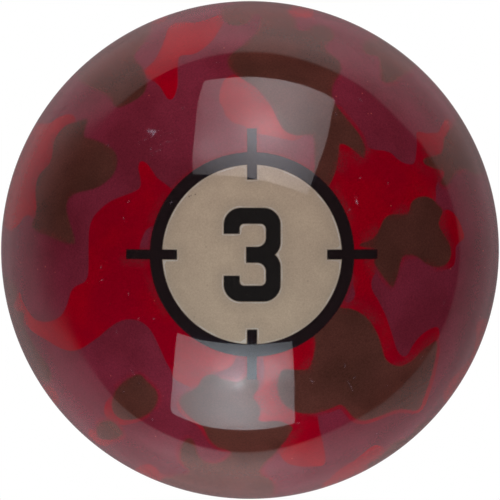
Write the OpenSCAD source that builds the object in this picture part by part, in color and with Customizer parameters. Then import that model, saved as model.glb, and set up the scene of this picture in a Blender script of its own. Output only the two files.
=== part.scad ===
// Numbered pool ball, three-colour camouflage, number three.
// A solid resin core carries red and brown inlays, a number insert on each of two
// opposite sides, and a clear coat over everything. The ball centre is the origin,
// Z is up and the front number faces -Y.

/* [Ball] */
// Diameter over the clear coat
ball_d = 57.15; // [50.8:0.05:61.5]
// Thickness of the clear coat
coat_t = 0.4; // [0.3:0.05:0.8]

/* [Camouflage] */
// Depth of the red inlays under the clear coat
red_depth = 1.0; // [0.9:0.1:1.2]
// Depth of the brown inlays, which lie over the red ones
brown_depth = 0.5; // [0.4:0.1:0.7]
// Smoothing passes on the inlay outlines
outline_passes = 1; // [0:1:2]

/* [Number insert] */
// Depth of the number insert
number_depth = 1.5; // [1.3:0.1:2]
// Outside diameter of the black ring
ring_d = 23.32; // [21:0.02:25]
// Width of the black ring
ring_w = 1.44; // [1:0.02:2]
// Width of the four tick bars
tick_w = 1.13; // [0.8:0.01:1.6]
// Length of a tick bar outside the ring
tick_out = 2.66; // [1.5:0.02:3.2]
// Length of a tick bar inside the ring
tick_in = 1.68; // [0.8:0.02:2]
// Height of the numeral
numeral_h = 10.68; // [9.4:0.02:11.2]
// Width of the numeral
numeral_w = 6.48; // [5.8:0.02:7]
// Stroke width of the numeral
stroke_w = 1.82; // [1.5:0.02:1.9]

/* [Hidden] */
ball_r = ball_d / 2;
core_r = ball_r - coat_t;
ring_r = ring_d / 2;
disc_r = ring_r - ring_w;
facets = 180;
overshoot = 1;    // extruded length past the surface it is cut by
column_sink = 3.2; // column length below the lowest point of its outline

// The outlines are drawn in an elevation seen from slightly left of and above the front.
view_turn = -0.5; // degrees about Z
view_lift = 1.1;  // degrees above level
back_scale = 0.8; // size of the pattern on the back against the front
back_roll = 112;  // degrees the back pattern is rolled

// Weights of four-point smoothing: the two nearest points and the two beyond them
near_weight = 0.5625;
far_weight = 0.0625;

// Details of the numeral; the radii are of its rounded corners
outer_r = 1.95;
inner_low_r = 1;
inner_right_r = 0.62;
inner_left_r = 0.5;
waist_r = 1.89;
waist_rise = 1.43;    // height of the waist arc's centre above the middle
bar_reach = 0.69;     // middle bar's end, left of the middle
side_thinning = 0.14; // how much thinner the right side is than the stroke
hook_level = 0.446;   // height of the hook's end, as a part of half the numeral

plum = [0.38, 0.125, 0.172];
red = [0.475, 0.0, 0.055];
brown = [0.26, 0.145, 0.12];
cream = [0.62, 0.555, 0.48];
black = [0.08, 0.075, 0.078];
clear = [0.93, 0.95, 0.96, 0.22];

// Inlay outlines as [right, up] in hundredths of the core radius on the front elevation.
// A point further than 100 from the middle lies as far past the rim on the back half.
brown_top = [
  [-11.6,95.6],[-10.6,92.9],[-8.6,90.6],[-4.8,89.9],[-1.2,90.8],[0.8,92.9],[2.2,94.4],
  [4,94],[4,91.4],[2.8,87.6],[0,84.5],[-3.4,81.5],[-6.8,79],[-8.6,76.9],[-8.8,74.4],
  [-7.6,72],[-5,69.7],[-1.8,67.5],[2,65.1],[6,60.9],[8.8,56.8],[10.8,52.7],[12.9,48.8],
  [15.6,46.6],[19.5,45.7],[24.7,45.7],[25.5,42],[25.8,36.5],[25.6,31.5],[24,26],[29,22],
  [31.8,26.2],[33.6,30],[34.9,34.7],[35.5,39],[35.9,42.2],[38.6,41.8],[41.6,39.7],
  [43.9,37.9],[45.3,36.9],[46,38.8],[45.9,41.4],[44.8,44.2],[42.8,47.5],[40.1,50.8],
  [37.3,54.2],[34.6,57.5],[33.1,60.4],[32.8,63.6],[33.6,66.8],[35.3,69.5],[36.5,72.6],
  [35.6,75.7],[33,78],[30.6,80.2],[30.8,82.3],[33.3,84.4],[33.9,86.6],[32,88.9],
  [28.8,90.2],[25.4,90],[23.4,88.4],[20.8,88],[18.5,89.2],[18.4,92.4],[16.8,93.9],
  [15.2,95.5],[16.5,97.4],[17.6,99.8],[17,107],[8,111],[-1,108],[-2,103],[-2.6,99.7],
  [-7.8,98.4],[-11,97.4]];
brown_top_left = [
  [-69.9,71.6],[-69,69],[-66.6,66.6],[-62.6,64.6],[-58.8,62.8],[-56,60.8],[-54.8,58.6],
  [-53.2,57.1],[-50.6,57.5],[-46.8,59.4],[-43.5,61.6],[-41.6,64.2],[-41.2,67],
  [-42,70.6],[-43.4,73.4],[-45.4,75.5],[-46.2,77.9],[-44.7,80.2],[-42,83.6],[-40.1,87],
  [-39.7,90.2],[-40.5,94],[-47,99],[-60,92],[-70,82],[-75,74]];
brown_left = [
  [-65.4,52.4],[-68.2,51.8],[-71,50.9],[-73.8,49.9],[-75.8,48],[-77.6,45.6],
  [-78.8,42.4],[-79.2,38.6],[-80.2,34.9],[-82.8,32],[-84.8,29.2],[-85.8,25.8],
  [-85.9,21.6],[-85.6,17.4],[-86.2,13.4],[-87.5,10.2],[-86.6,8.4],[-84.6,7.1],
  [-81,5.8],[-77.4,4.2],[-73.6,2.8],[-70.1,2.7],[-70.3,5.4],[-71.5,9],[-72.8,13.4],
  [-73.4,17.6],[-72.2,20.8],[-69.4,22.7],[-64.8,23.8],[-60.6,25.2],[-57.2,27.5],
  [-54.6,30.2],[-53.3,33.4],[-53.1,36.6],[-54.2,39.4],[-56.8,41.5],[-60.8,43.5],
  [-64.6,44.7],[-66.3,45.6],[-66,48.5],[-65.3,50.6]];
brown_left_edge = [
  [-97.6,-10.6],[-96,-12.4],[-94.1,-14],[-93.3,-16.8],[-93.7,-20],[-94.8,-22.6],
  [-93.2,-24.4],[-91,-25],[-90.6,-27.6],[-90.8,-29.6],[-89.2,-33.4],[-86.8,-37.6],
  [-84.1,-42],[-81.4,-45.8],[-79.9,-49],[-79.6,-51.6],[-81,-53.2],[-83.2,-52.8],
  [-85.4,-51.4],[-88.5,-51],[-95,-44],[-101,-32],[-104,-20],[-103,-12],[-99.6,-9.6]];
brown_lower_left = [
  [-44,-49.8],[-42.6,-50.8],[-41.2,-52.4],[-39.2,-54.2],[-37.4,-56.4],[-36.8,-58.9],
  [-37.4,-61.6],[-39,-64.2],[-41.3,-66],[-44,-67.3],[-47.4,-68],[-50.8,-67.9],
  [-53.4,-66.5],[-54.9,-64.3],[-55.3,-61.4],[-54.7,-58.4],[-53.4,-55.7],[-50.8,-53],
  [-48.2,-51.2],[-45.8,-50]];
brown_spot = [
  [-60,-69],[-56.7,-68.1],[-54,-69.3],[-52,-71.5],[-51,-73.6],[-52.7,-75.3],
  [-55.6,-76.1],[-58.8,-76],[-61,-74.6],[-61.6,-72.4],[-61.2,-70.4]];
brown_bottom = [
  [-28.3,-60.4],[-27.6,-58.6],[-25.6,-57],[-22.8,-55.9],[-20.6,-54],[-19.4,-51.6],
  [-17,-50],[-13.9,-49.8],[-11.2,-51.4],[-7.9,-52.2],[-4.6,-52.6],[-2,-51],[0.5,-48],
  [2.4,-50.8],[3.6,-52.8],[3.2,-55.4],[1.5,-58.6],[2.6,-60.6],[3.9,-62.8],[4,-65.8],
  [3.4,-68],[6,-68.6],[9.5,-68.3],[12.9,-68.7],[15.6,-69.9],[17,-71.2],[16,-73.4],
  [14,-76.4],[11.6,-79.4],[9.4,-82.2],[7,-84.2],[5.2,-86.4],[4.1,-88.6],[5.6,-90.5],
  [8.2,-92.2],[9.9,-94.6],[9.6,-97.4],[8.2,-100],[6,-106],[-8,-111],[-24,-106],
  [-35,-98],[-36.4,-93.2],[-35,-91.8],[-32,-90.6],[-28.6,-90],[-25.4,-89.6],
  [-24.6,-88.4],[-25.6,-87.2],[-27.3,-85.2],[-28.1,-82.4],[-27.7,-79.2],[-26.2,-76.5],
  [-24.3,-75.2],[-22.8,-76.1],[-21.9,-78.2],[-21.2,-80.6],[-20,-83],[-17.8,-84.7],
  [-14.6,-85.3],[-11.4,-84.6],[-9,-83],[-7.7,-81.2],[-9,-80.1],[-12.5,-79.2],
  [-14.8,-77.5],[-16.8,-75],[-18.3,-71.8],[-19.6,-70],[-22.4,-68],[-25.2,-65.6],
  [-27.6,-62.6]];
brown_lower_right = [
  [36.4,-23],[39,-23.2],[42.3,-24.2],[45.6,-26.2],[48.2,-28.9],[50.3,-32.3],
  [51.9,-36.2],[53,-40.2],[54.4,-43.7],[57,-45.8],[60.3,-46.3],[63.6,-45],[66.3,-42.8],
  [69,-40.1],[71.8,-37.9],[74.4,-36.3],[74.9,-38.6],[74.4,-42.8],[73.6,-47],
  [72.3,-51.7],[70.8,-56.3],[69.4,-60.3],[68.2,-63],[66.4,-64.3],[63.6,-64.1],
  [60.3,-63.9],[56.9,-64.6],[53.5,-66],[49.8,-67.3],[46.2,-68.2],[43,-67.9],[40.4,-66],
  [38.2,-63.3],[36.4,-62],[34.4,-62.4],[31.5,-63.7],[28.2,-64.8],[24.8,-65.4],
  [21.4,-65.3],[18.2,-64.6],[15.6,-63.2],[13.2,-61.2],[11.6,-58.4],[10.9,-54.8],
  [11.4,-51],[12.6,-48.3],[15,-47.6],[18.2,-47.8],[22.6,-47.7],[24.5,-45.4],
  [25.5,-41.4],[26.1,-37],[25.4,-33],[27,-26],[33,-20]];
brown_right = [
  [44.6,2.7],[48.2,4],[50.8,6.6],[52.3,9.8],[53.8,12.6],[56.4,14.1],[59.8,14.3],
  [62.8,14.4],[63.7,16],[64.4,18.6],[66.4,20.6],[69.6,21.4],[72.7,20.5],[75,18.3],
  [77,15.9],[76.3,13.2],[75.5,10.6],[76.6,7.8],[78.3,5.2],[79.7,2.5],[80.4,-0.2],
  [80.1,-3.3],[78.4,-5.7],[75.8,-6.8],[73,-6.6],[70.3,-5.4],[67.8,-3.4],[65.4,-2.2],
  [62.8,-2],[61,-2.9],[60,-5.4],[59.3,-8.8],[58.3,-12.2],[56.9,-14.8],[54.9,-12.9],
  [52.9,-10.4],[51,-7.6],[49.6,-5],[50,-2],[49.2,0.6],[46.4,1.1],[43.8,1.7]];
brown_right_edge = [
  [84.6,54.4],[82.9,53.2],[81.9,51.3],[80.5,49.2],[79,46.8],[77.6,44.6],[77.3,41.4],
  [76.5,39],[74.2,37.9],[71.6,37.3],[69.4,36.1],[69.8,34.5],[71.8,33.4],[74.4,32.4],
  [77,31.9],[77.8,30.5],[76.9,28.5],[76.4,26.8],[77.8,25.6],[79.4,26.4],[80.6,28.2],
  [82.2,30.4],[84,31.9],[86.3,32.2],[88.4,31],[90.4,30],[92.3,30.1],[93.6,31.2],
  [95.2,31.4],[98,34],[98,42],[92,52],[87.5,56]];
brown_top_right = [
  [45.3,82.6],[46.6,84.3],[49.6,84.9],[52.4,85.4],[56,88],[64,86],[71,79],[68.5,75.2],
  [66.4,74],[65.3,72.2],[63,70.9],[60.3,69.1],[57.9,67.5],[55,66.9],[52.8,67.9],
  [52.2,70.8],[52.1,74.6],[51.5,77.3],[49.6,78],[46.8,78.5],[45.3,80.6]];
brown_bottom_right = [
  [75,-67.2],[72.4,-67.6],[70.2,-69],[67.6,-70.4],[65.6,-72.9],[64.2,-74.6],
  [61.6,-75.6],[59,-76.6],[57,-77.7],[54.9,-80.2],[52.9,-82.3],[50.8,-84],[48.2,-85.4],
  [47.2,-87.4],[47,-90],[56,-91],[68,-84],[77,-74]];

red_top_left = [
  [-41.8,72.6],[-40,74.1],[-38,76.2],[-36.5,79],[-35,82.2],[-33.8,85.6],[-32.8,88.8],
  [-30.4,90.8],[-26.6,91.4],[-22.6,91.1],[-18.6,91.9],[-14.6,93.4],[-11.4,94.3],
  [-10.9,91],[-12.4,88],[-14,85.4],[-15.8,83.1],[-18.1,81.1],[-20.6,79.3],[-23.4,78.2],
  [-26.4,78],[-28.3,77.2],[-28.9,74],[-28.9,70],[-29,66],[-29.7,62.8],[-31,60.4],
  [-32.8,60.4],[-34.4,62.7],[-36,65.3],[-38.7,67.6],[-41,68.7],[-44,70.5]];
red_top_left_edge = [
  [-42,91.6],[-38.6,90.9],[-36,91.2],[-33.6,92.6],[-33,95],[-36,99],[-44,98]];
red_left_edge = [
  [-86.4,50.8],[-83.4,50.8],[-80.3,50.9],[-78,52.4],[-75.2,53.7],[-72.4,54.4],
  [-70.4,53.4],[-70,50],[-73,44],[-75,34],[-79,26],[-80,18],[-82,14],[-86,12.6],
  [-88.2,13.9],[-90.6,13.2],[-92.8,10],[-95.8,7.7],[-98.6,9.4],[-103,12],[-104,24],
  [-98,40],[-91,51]];
red_above_ring = [
  [-4,70.4],[-7,70],[-10,68.2],[-11.5,65.2],[-12.2,62],[-12,59],[-10.8,56.8],
  [-10,54.2],[-8,51.9],[-5.4,50.4],[-2,49.4],[1,47],[4,46.4],[8,45.6],[11.6,44.8],
  [14.4,44.2],[18,43.9],[22,46.5],[20,51],[14,57],[8,64],[1,69]];
red_left = [
  [-43.6,35.4],[-41.2,34.5],[-39,31.6],[-36.8,28.6],[-33.6,26.2],[-30,22],[-33,15],
  [-37.5,10.5],[-41.2,8.2],[-43,4.8],[-44,1.2],[-43,-1.4],[-37,-3],[-36,-10],[-33,-18],
  [-29,-26],[-22,-32],[-14,-36.5],[-6,-39.5],[-5.6,-42.6],[-7.2,-45.9],[-10,-47.8],
  [-13.4,-49],[-15,-52],[-18,-54.5],[-20.8,-54.8],[-22.6,-55.2],[-24.8,-54.4],
  [-28,-52.8],[-30.6,-51],[-31.6,-48],[-33.4,-44.9],[-35,-41.4],[-36.8,-37.4],
  [-38.8,-33.4],[-41.3,-30.2],[-44.7,-28.2],[-48.7,-27.7],[-52.7,-28.8],[-56.7,-31.5],
  [-60.1,-34.4],[-62.8,-36.4],[-66.6,-38.9],[-70.1,-40.2],[-74.1,-39.9],[-78.1,-38.1],
  [-82.1,-35.6],[-86.1,-33.4],[-89.4,-30.4],[-92.5,-27.5],[-97,-22.4],[-96.6,-18.4],
  [-92.6,-17],[-91.4,-19.8],[-89.8,-23],[-88,-25.7],[-86,-27.8],[-82.1,-28.8],
  [-78.8,-28.2],[-75.6,-26.2],[-73.6,-22.8],[-72.4,-19.4],[-71.3,-16.2],[-69.2,-14.2],
  [-66.2,-12.8],[-64.8,-10],[-64.5,-6],[-64.5,1.2],[-64.4,6.6],[-63.7,10.6],
  [-62.1,13.8],[-59.4,16.7],[-56,19.3],[-52,21.1],[-48,22.6],[-44.6,24.2],[-43.6,26.4],
  [-44,29.6],[-44.6,33]];
red_below_ring = [
  [5.8,-41],[12,-39],[18,-36.5],[23,-33],[26.4,-33.6],[28,-38],[27,-44],[22,-50],
  [17,-52],[14.5,-56],[18,-62],[25.5,-63],[26.8,-65.6],[27.3,-68.6],[27.9,-72],
  [28.8,-75.6],[29.6,-79.6],[30.2,-83.4],[29.2,-86.2],[25.6,-86.6],[21.6,-86.7],
  [17.6,-86.2],[14.4,-84.9],[12.6,-82.7],[11.6,-80.2],[12.6,-76],[13,-72],[8,-70],
  [3.2,-69.4],[1.6,-66],[2.4,-62.4],[0.6,-59],[3.4,-55],[5.4,-51],[5.6,-46]];
red_right = [
  [29,24],[30.5,30],[31.5,36],[33,42],[35.4,50],[33.6,56],[35.4,58],[37.6,55.6],
  [40.6,52.1],[43.4,48.7],[45.6,45],[46.8,41.4],[48.6,40.4],[51,39.9],[53.8,39.6],
  [56.4,38.7],[58.4,36.8],[61,35],[63.6,34.3],[65.6,34.8],[66.4,38],[66.8,43],
  [66.6,46.6],[68,47.3],[70.4,46.7],[73,46.9],[75.4,47.2],[76.6,49.4],[78.2,52.2],
  [79.8,52.4],[82,49],[81,44],[79,39],[75,35],[78.5,31.5],[78,29],[75.6,27.6],
  [74.4,25.4],[74.3,23],[74.2,20],[73,17],[68,16],[64,12],[58,11],[54,6],[51,2],
  [49,-0.8],[44,-1.2],[40,-1],[37,4],[36,10],[33,18],[30,22]];
red_top_edge = [
  [14,95.8],[17,92.8],[19.6,93.4],[22.6,93],[25,93.6],[25.4,95],[25.2,96.9],[25.6,99],
  [22,103],[15,104],[12,100]];
red_right_edge = [
  [78.6,16.1],[80.8,15.3],[83.3,12.4],[85.1,8],[85.7,4.8],[83.7,3],[82.3,1],[82.2,-3],
  [81.4,-6.2],[78.8,-7.6],[75,-7.4],[73,-5],[73,4],[73,12],[75.5,15]];
red_lower_right = [
  [40,-2.8],[48,-2.8],[51.4,-4.8],[50.4,-8.4],[49,-11],[48.4,-13.8],[49.2,-16.8],
  [50.9,-19.5],[52.6,-22.8],[54.2,-26.2],[55.6,-30.2],[56.9,-34.2],[57.9,-37.5],
  [59.3,-40.8],[61.4,-42.6],[63.3,-41.5],[64.6,-39],[66,-36.9],[68.3,-34.2],[71,-32.2],
  [73.6,-31],[75.3,-31.2],[75.8,-33.6],[75.6,-36.8],[75.9,-40],[75.4,-43.6],
  [74.6,-47.8],[73.4,-52.4],[71.9,-57.1],[70.6,-61.2],[69,-64],[66.8,-65.4],
  [63.6,-65.2],[60.3,-65],[57,-65.8],[53.7,-67.1],[50,-68.5],[46.2,-69.5],[42.2,-69.2],
  [39.6,-67.4],[37.4,-64.8],[35.6,-63.5],[31.2,-65],[29.6,-63],[36,-58],[44,-56],
  [52,-52],[50,-46],[46,-38],[42,-31],[37,-27],[32,-22],[35,-18.5],[38.4,-21],
  [40.6,-20.4],[42,-17.6],[41.2,-14],[41.3,-10],[41,-6]];
red_lower_right_edge = [
  [96,-27.6],[92.6,-28],[90.8,-31],[90.8,-35],[90,-39],[88.4,-43],[86.2,-46.4],
  [83.8,-48.6],[81,-51.8],[79,-55.2],[77.5,-58.4],[78.4,-61.2],[80,-63],[84,-64],
  [92,-54],[98,-42],[101,-30]];
red_bottom_right = [
  [54.4,-79.8],[52.6,-78.7],[50.4,-78.2],[47.8,-79.4],[44.8,-82],[41,-84.9],[37.4,-87],
  [34.4,-89.4],[31.4,-92.2],[29,-94.6],[29,-98],[38,-97],[47,-93],[53,-88],[56.5,-82]];
red_bottom_left_edge = [
  [-84,-54.4],[-82.6,-54.2],[-80,-54.8],[-77.9,-56.8],[-76.8,-59.4],[-77,-62],
  [-78.2,-64.4],[-82,-65],[-88,-58]];
red_lower_left = [
  [-56.5,-59.6],[-58,-62],[-58.4,-64.8],[-57.2,-67.3],[-54.6,-69.1],[-51,-70],
  [-47.5,-69.4],[-44,-68.4],[-41.8,-67.2],[-40.2,-65.6],[-43,-62],[-49,-58],[-53.5,-58]];
red_spot = [
  [-64.2,-71.7],[-64.5,-74.3],[-62.2,-77],[-59.4,-78.5],[-56.3,-78],[-54.8,-75.6],
  [-57,-74],[-60.6,-71.5],[-62.8,-72.4]];
red_bottom_left = [
  [-46,-88.6],[-44.6,-87],[-42.9,-86.2],[-40.6,-85.8],[-38,-87.2],[-35.9,-89.6],
  [-34,-91.4],[-35,-94.4],[-39,-97],[-45,-94]];
red_bottom = [
  [-26,-60],[-28.8,-61],[-29,-63],[-27.6,-65.2],[-24.6,-67.8],[-21.4,-69.9],
  [-19.3,-72.2],[-17.8,-75.2],[-15.7,-77.9],[-13,-79.8],[-9,-80.9],[-7,-78],[-12,-73],
  [-15,-69],[-18,-65],[-22,-62]];
red_top_right_edge = [
  [47,87.6],[49.4,86.6],[51.4,85.6],[52.6,83.8],[56,85.5],[55,90.5],[50,90.8]];

// Outlines that are cut into the core on each side
front_browns = [brown_top, brown_top_left, brown_left, brown_left_edge, brown_lower_left,
  brown_spot, brown_bottom, brown_lower_right, brown_right, brown_right_edge,
  brown_top_right, brown_bottom_right];
front_reds = [red_top_left, red_top_left_edge, red_left_edge, red_above_ring, red_left,
  red_below_ring, red_right, red_top_edge, red_right_edge, red_lower_right,
  red_lower_right_edge, red_bottom_right, red_bottom_left_edge, red_lower_left, red_spot,
  red_bottom_left, red_bottom, red_top_right_edge];
back_browns = [brown_top, brown_left, brown_lower_right, brown_right, brown_lower_left,
  brown_top_left];
back_reds = [red_left, red_right, red_top_left, red_above_ring, red_bottom];

// Toward-the-eye, right and up axes of the elevation that the outlines are drawn in
eye = [sin(view_turn) * cos(view_lift), -cos(view_turn) * cos(view_lift), sin(view_lift)];
right = [cos(view_turn), sin(view_turn), 0];
up = cross(eye, right);

function unit(v) = v / norm(v);
function total(list, i = 0) = i == len(list) - 1 ? list[i] : list[i] + total(list, i + 1);

// direction from the ball centre of an outline point
function aim(point) =
  let (reach = norm(point) / 100,
       angle = reach <= 1 ? asin(reach) : 180 - asin(2 - reach))
  (point[0] * right + point[1] * up) / norm(point) * sin(angle) + eye * cos(angle);

// smoothed direction between points i and i + 1 of a closed loop
function between(loop, i) =
  let (count = len(loop))
  unit((loop[i] + loop[(i + 1) % count]) * near_weight
    - (loop[(i + count - 1) % count] + loop[(i + 2) % count]) * far_weight);

// closed loop of directions; each pass adds a point between every two
function smooth(loop, passes) = passes < 1 ? loop :
  smooth([for (i = [0:len(loop) - 1], k = [0, 1]) k == 0 ? loop[i] : between(loop, i)],
    passes - 1);

// the same outline mirrored, shrunk and rolled for the back
function backward(outline) = [for (p = outline) back_scale * [
  -p[0] * cos(back_roll) - p[1] * sin(back_roll),
  -p[0] * sin(back_roll) + p[1] * cos(back_roll)]];

// straight column through the skin of the ball that follows an outline; it stops on
// the sphere that lies depth below the core surface
module column(outline, depth) {
  loop = smooth([for (point = outline) aim(point)], outline_passes);
  axis = unit(total(loop));
  tilt = acos(axis[2]);
  bearing = atan2(axis[1], axis[0]);
  // column's own x and y axes
  across = [cos(tilt) * cos(bearing), cos(tilt) * sin(bearing), -sin(tilt)];
  along = [-sin(bearing), cos(bearing), 0];
  foot = core_r * min([for (way = loop) way * axis]) - column_sink;
  difference() {
    rotate([0, tilt, bearing])
      translate([0, 0, foot])
        linear_extrude(core_r - foot + overshoot)
          polygon([for (way = loop) core_r * [way * across, way * along]]);
    sphere(core_r - depth, $fn = facets);
  }
}

module tick_cross() {
  for (turn = [0:90:270])
    rotate(turn)
      translate([disc_r - tick_in, -tick_w / 2])
        square([tick_in + ring_w + tick_out, tick_w]);
}

// front space for the number insert: round with four tick bars, straight along Y
module plug() {
  difference() {
    rotate([90, 0, 0]) linear_extrude(ball_r + overshoot) {
      circle(ring_r, $fn = facets);
      tick_cross();
    }
    sphere(core_r - number_depth, $fn = facets);
  }
}

// front layer of the number insert cut to the 2D outline given as children
module insert_layer() {
  difference() {
    intersection() {
      rotate([90, 0, 0]) linear_extrude(ball_r + overshoot) children();
      sphere(core_r, $fn = facets);
    }
    sphere(core_r - number_depth, $fn = facets);
  }
}

// points of an arc from one angle to another
function arc(centre, radius, from, to, steps = 12) =
  [for (i = [0:steps])
    let (angle = from + (to - from) * i / steps)
    [centre[0] + radius * cos(angle), centre[1] + radius * sin(angle)]];

// upper half of a block numeral three, from the end of the middle bar round to the waist
function upper_bowl() =
  let (half_w = numeral_w / 2,
       half_h = numeral_h / 2,
       half_bar = stroke_w / 2,
       inner_x = half_w - (stroke_w - side_thinning),
       inner_top = half_h - stroke_w,
       hook_x = -half_w + stroke_w,
       hook_y = half_h * hook_level)
  concat(
    [[-bar_reach, half_bar]],
    arc([inner_x - inner_low_r, half_bar + inner_low_r], inner_low_r, -90, 0),
    arc([inner_x - inner_right_r, inner_top - inner_right_r], inner_right_r, 0, 90),
    arc([hook_x + inner_left_r, inner_top - inner_left_r], inner_left_r, 90, 180),
    [[hook_x, hook_y], [-half_w, hook_y]],
    arc([-half_w + outer_r, half_h - outer_r], outer_r, 180, 90, 18),
    arc([half_w - outer_r, half_h - outer_r], outer_r, 90, 0, 18),
    arc([half_w - waist_r, waist_rise], waist_r, 0, -asin(waist_rise / waist_r)));

// the lower half mirrors the upper one and shares its waist point
module numeral_outline() {
  upper = upper_bowl();
  polygon(concat(upper, [for (i = [len(upper) - 2:-1:0]) [upper[i][0], -upper[i][1]]]));
}

// inlay with the outlines in over cut out of it to the brown depth
module inlay(outline, depth, over = []) {
  difference() {
    intersection() {
      column(outline, depth);
      sphere(core_r, $fn = facets);
    }
    for (cover = over) column(cover, brown_depth);
    plug();
  }
}

module half_turn() rotate([0, 0, 180]) children();

module core() color(plum) difference() {
  sphere(core_r, $fn = facets);
  for (outline = front_reds) column(outline, red_depth);
  for (outline = front_browns) column(outline, brown_depth);
  half_turn() for (outline = back_reds) column(backward(outline), red_depth);
  half_turn() for (outline = back_browns) column(backward(outline), brown_depth);
  plug();
  half_turn() plug();
}
module clear_coat() color(clear) difference() {
  sphere(ball_r, $fn = facets);
  sphere(core_r, $fn = facets);
}

module number_disc() color(cream) insert_layer() difference() {
  circle(disc_r, $fn = facets);
  tick_cross();
  numeral_outline();
}
module number_ring() color(black) insert_layer() {
  difference() {
    circle(ring_r, $fn = facets);
    circle(disc_r, $fn = facets);
  }
  tick_cross();
}
module numeral() color(black) insert_layer() numeral_outline();
module front_number_disc() number_disc();
module front_number_ring() number_ring();
module front_numeral_three() numeral();
module back_number_disc() half_turn() number_disc();
module back_number_ring() half_turn() number_ring();
module back_numeral_three() half_turn() numeral();

module front_brown(outline) color(brown) inlay(outline, brown_depth);
module brown_patch_top() front_brown(brown_top);
module brown_patch_top_left() front_brown(brown_top_left);
module brown_patch_left() front_brown(brown_left);
module brown_patch_left_edge() front_brown(brown_left_edge);
module brown_patch_lower_left() front_brown(brown_lower_left);
module brown_spot_lower_left() front_brown(brown_spot);
module brown_patch_bottom() front_brown(brown_bottom);
module brown_patch_lower_right() front_brown(brown_lower_right);
module brown_patch_right() front_brown(brown_right);
module brown_patch_right_edge() front_brown(brown_right_edge);
module brown_patch_top_right() front_brown(brown_top_right);
module brown_patch_bottom_right() front_brown(brown_bottom_right);

module front_red(outline, over = []) color(red) inlay(outline, red_depth, over);
module red_patch_top_left() front_red(red_top_left, [brown_top_left, brown_top]);
module red_patch_top_left_edge() front_red(red_top_left_edge, [brown_top_left]);
module red_patch_left_edge() front_red(red_left_edge, [brown_left]);
module red_patch_above_ring() front_red(red_above_ring, [brown_top]);
module red_patch_left() front_red(red_left, [brown_left_edge, brown_bottom]);
module red_patch_below_ring() front_red(red_below_ring, [brown_bottom, brown_lower_right]);
module red_patch_right() front_red(red_right, [brown_top, brown_right, brown_right_edge]);
module red_patch_top_edge() front_red(red_top_edge, [brown_top]);
module red_patch_right_edge() front_red(red_right_edge, [brown_right]);
module red_patch_lower_right() front_red(red_lower_right, [brown_right, brown_lower_right]);
module red_patch_lower_right_edge() front_red(red_lower_right_edge);
module red_patch_bottom_right() front_red(red_bottom_right, [brown_bottom_right]);
module red_patch_bottom_left_edge() front_red(red_bottom_left_edge);
module red_patch_lower_left() front_red(red_lower_left, [brown_lower_left]);
module red_spot_lower_left() front_red(red_spot, [brown_spot]);
module red_patch_bottom_left() front_red(red_bottom_left, [brown_bottom]);
module red_patch_bottom() front_red(red_bottom, [brown_bottom]);
module red_patch_top_right_edge() front_red(red_top_right_edge, [brown_top_right]);

// back patches are named after the front patches whose outlines they reuse
module back_brown(outline) color(brown) half_turn() inlay(backward(outline), brown_depth);
module brown_patch_back_top() back_brown(brown_top);
module brown_patch_back_left() back_brown(brown_left);
module brown_patch_back_lower_right() back_brown(brown_lower_right);
module brown_patch_back_right() back_brown(brown_right);
module brown_patch_back_lower_left() back_brown(brown_lower_left);
module brown_patch_back_top_left() back_brown(brown_top_left);

module back_red(outline, over = []) color(red) half_turn()
  inlay(backward(outline), red_depth, [for (cover = over) backward(cover)]);
module red_patch_back_left() back_red(red_left);
module red_patch_back_right() back_red(red_right, [brown_top, brown_right]);
module red_patch_back_top_left() back_red(red_top_left, [brown_top, brown_top_left]);
module red_patch_back_above_ring() back_red(red_above_ring, [brown_top]);
module red_patch_back_bottom() back_red(red_bottom);

core();
clear_coat();
front_number_disc();
front_number_ring();
front_numeral_three();
back_number_disc();
back_number_ring();
back_numeral_three();
brown_patch_top();
brown_patch_top_left();
brown_patch_left();
brown_patch_left_edge();
brown_patch_lower_left();
brown_spot_lower_left();
brown_patch_bottom();
brown_patch_lower_right();
brown_patch_right();
brown_patch_right_edge();
brown_patch_top_right();
brown_patch_bottom_right();
red_patch_top_left();
red_patch_top_left_edge();
red_patch_left_edge();
red_patch_above_ring();
red_patch_left();
red_patch_below_ring();
red_patch_right();
red_patch_top_edge();
red_patch_right_edge();
red_patch_lower_right();
red_patch_lower_right_edge();
red_patch_bottom_right();
red_patch_bottom_left_edge();
red_patch_lower_left();
red_spot_lower_left();
red_patch_bottom_left();
red_patch_bottom();
red_patch_top_right_edge();
brown_patch_back_top();
brown_patch_back_left();
brown_patch_back_lower_right();
brown_patch_back_right();
brown_patch_back_lower_left();
brown_patch_back_top_left();
red_patch_back_left();
red_patch_back_right();
red_patch_back_top_left();
red_patch_back_above_ring();
red_patch_back_bottom();
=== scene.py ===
"""Numbered pool ball in three-colour camouflage, centred on the origin.

The front faces -y, x runs to the right of it and z is up; the back repeats part of the pattern.
Every visible piece is cut from one triangulation of the ball's surface, so neighbours share
their edges. Each piece is then made a closed solid as deep as its CAD node.
"""
import bpy
import math
import random
import numpy as np
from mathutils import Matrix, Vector
from mathutils.geometry import delaunay_2d_cdt
from mathutils.kdtree import KDTree


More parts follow.
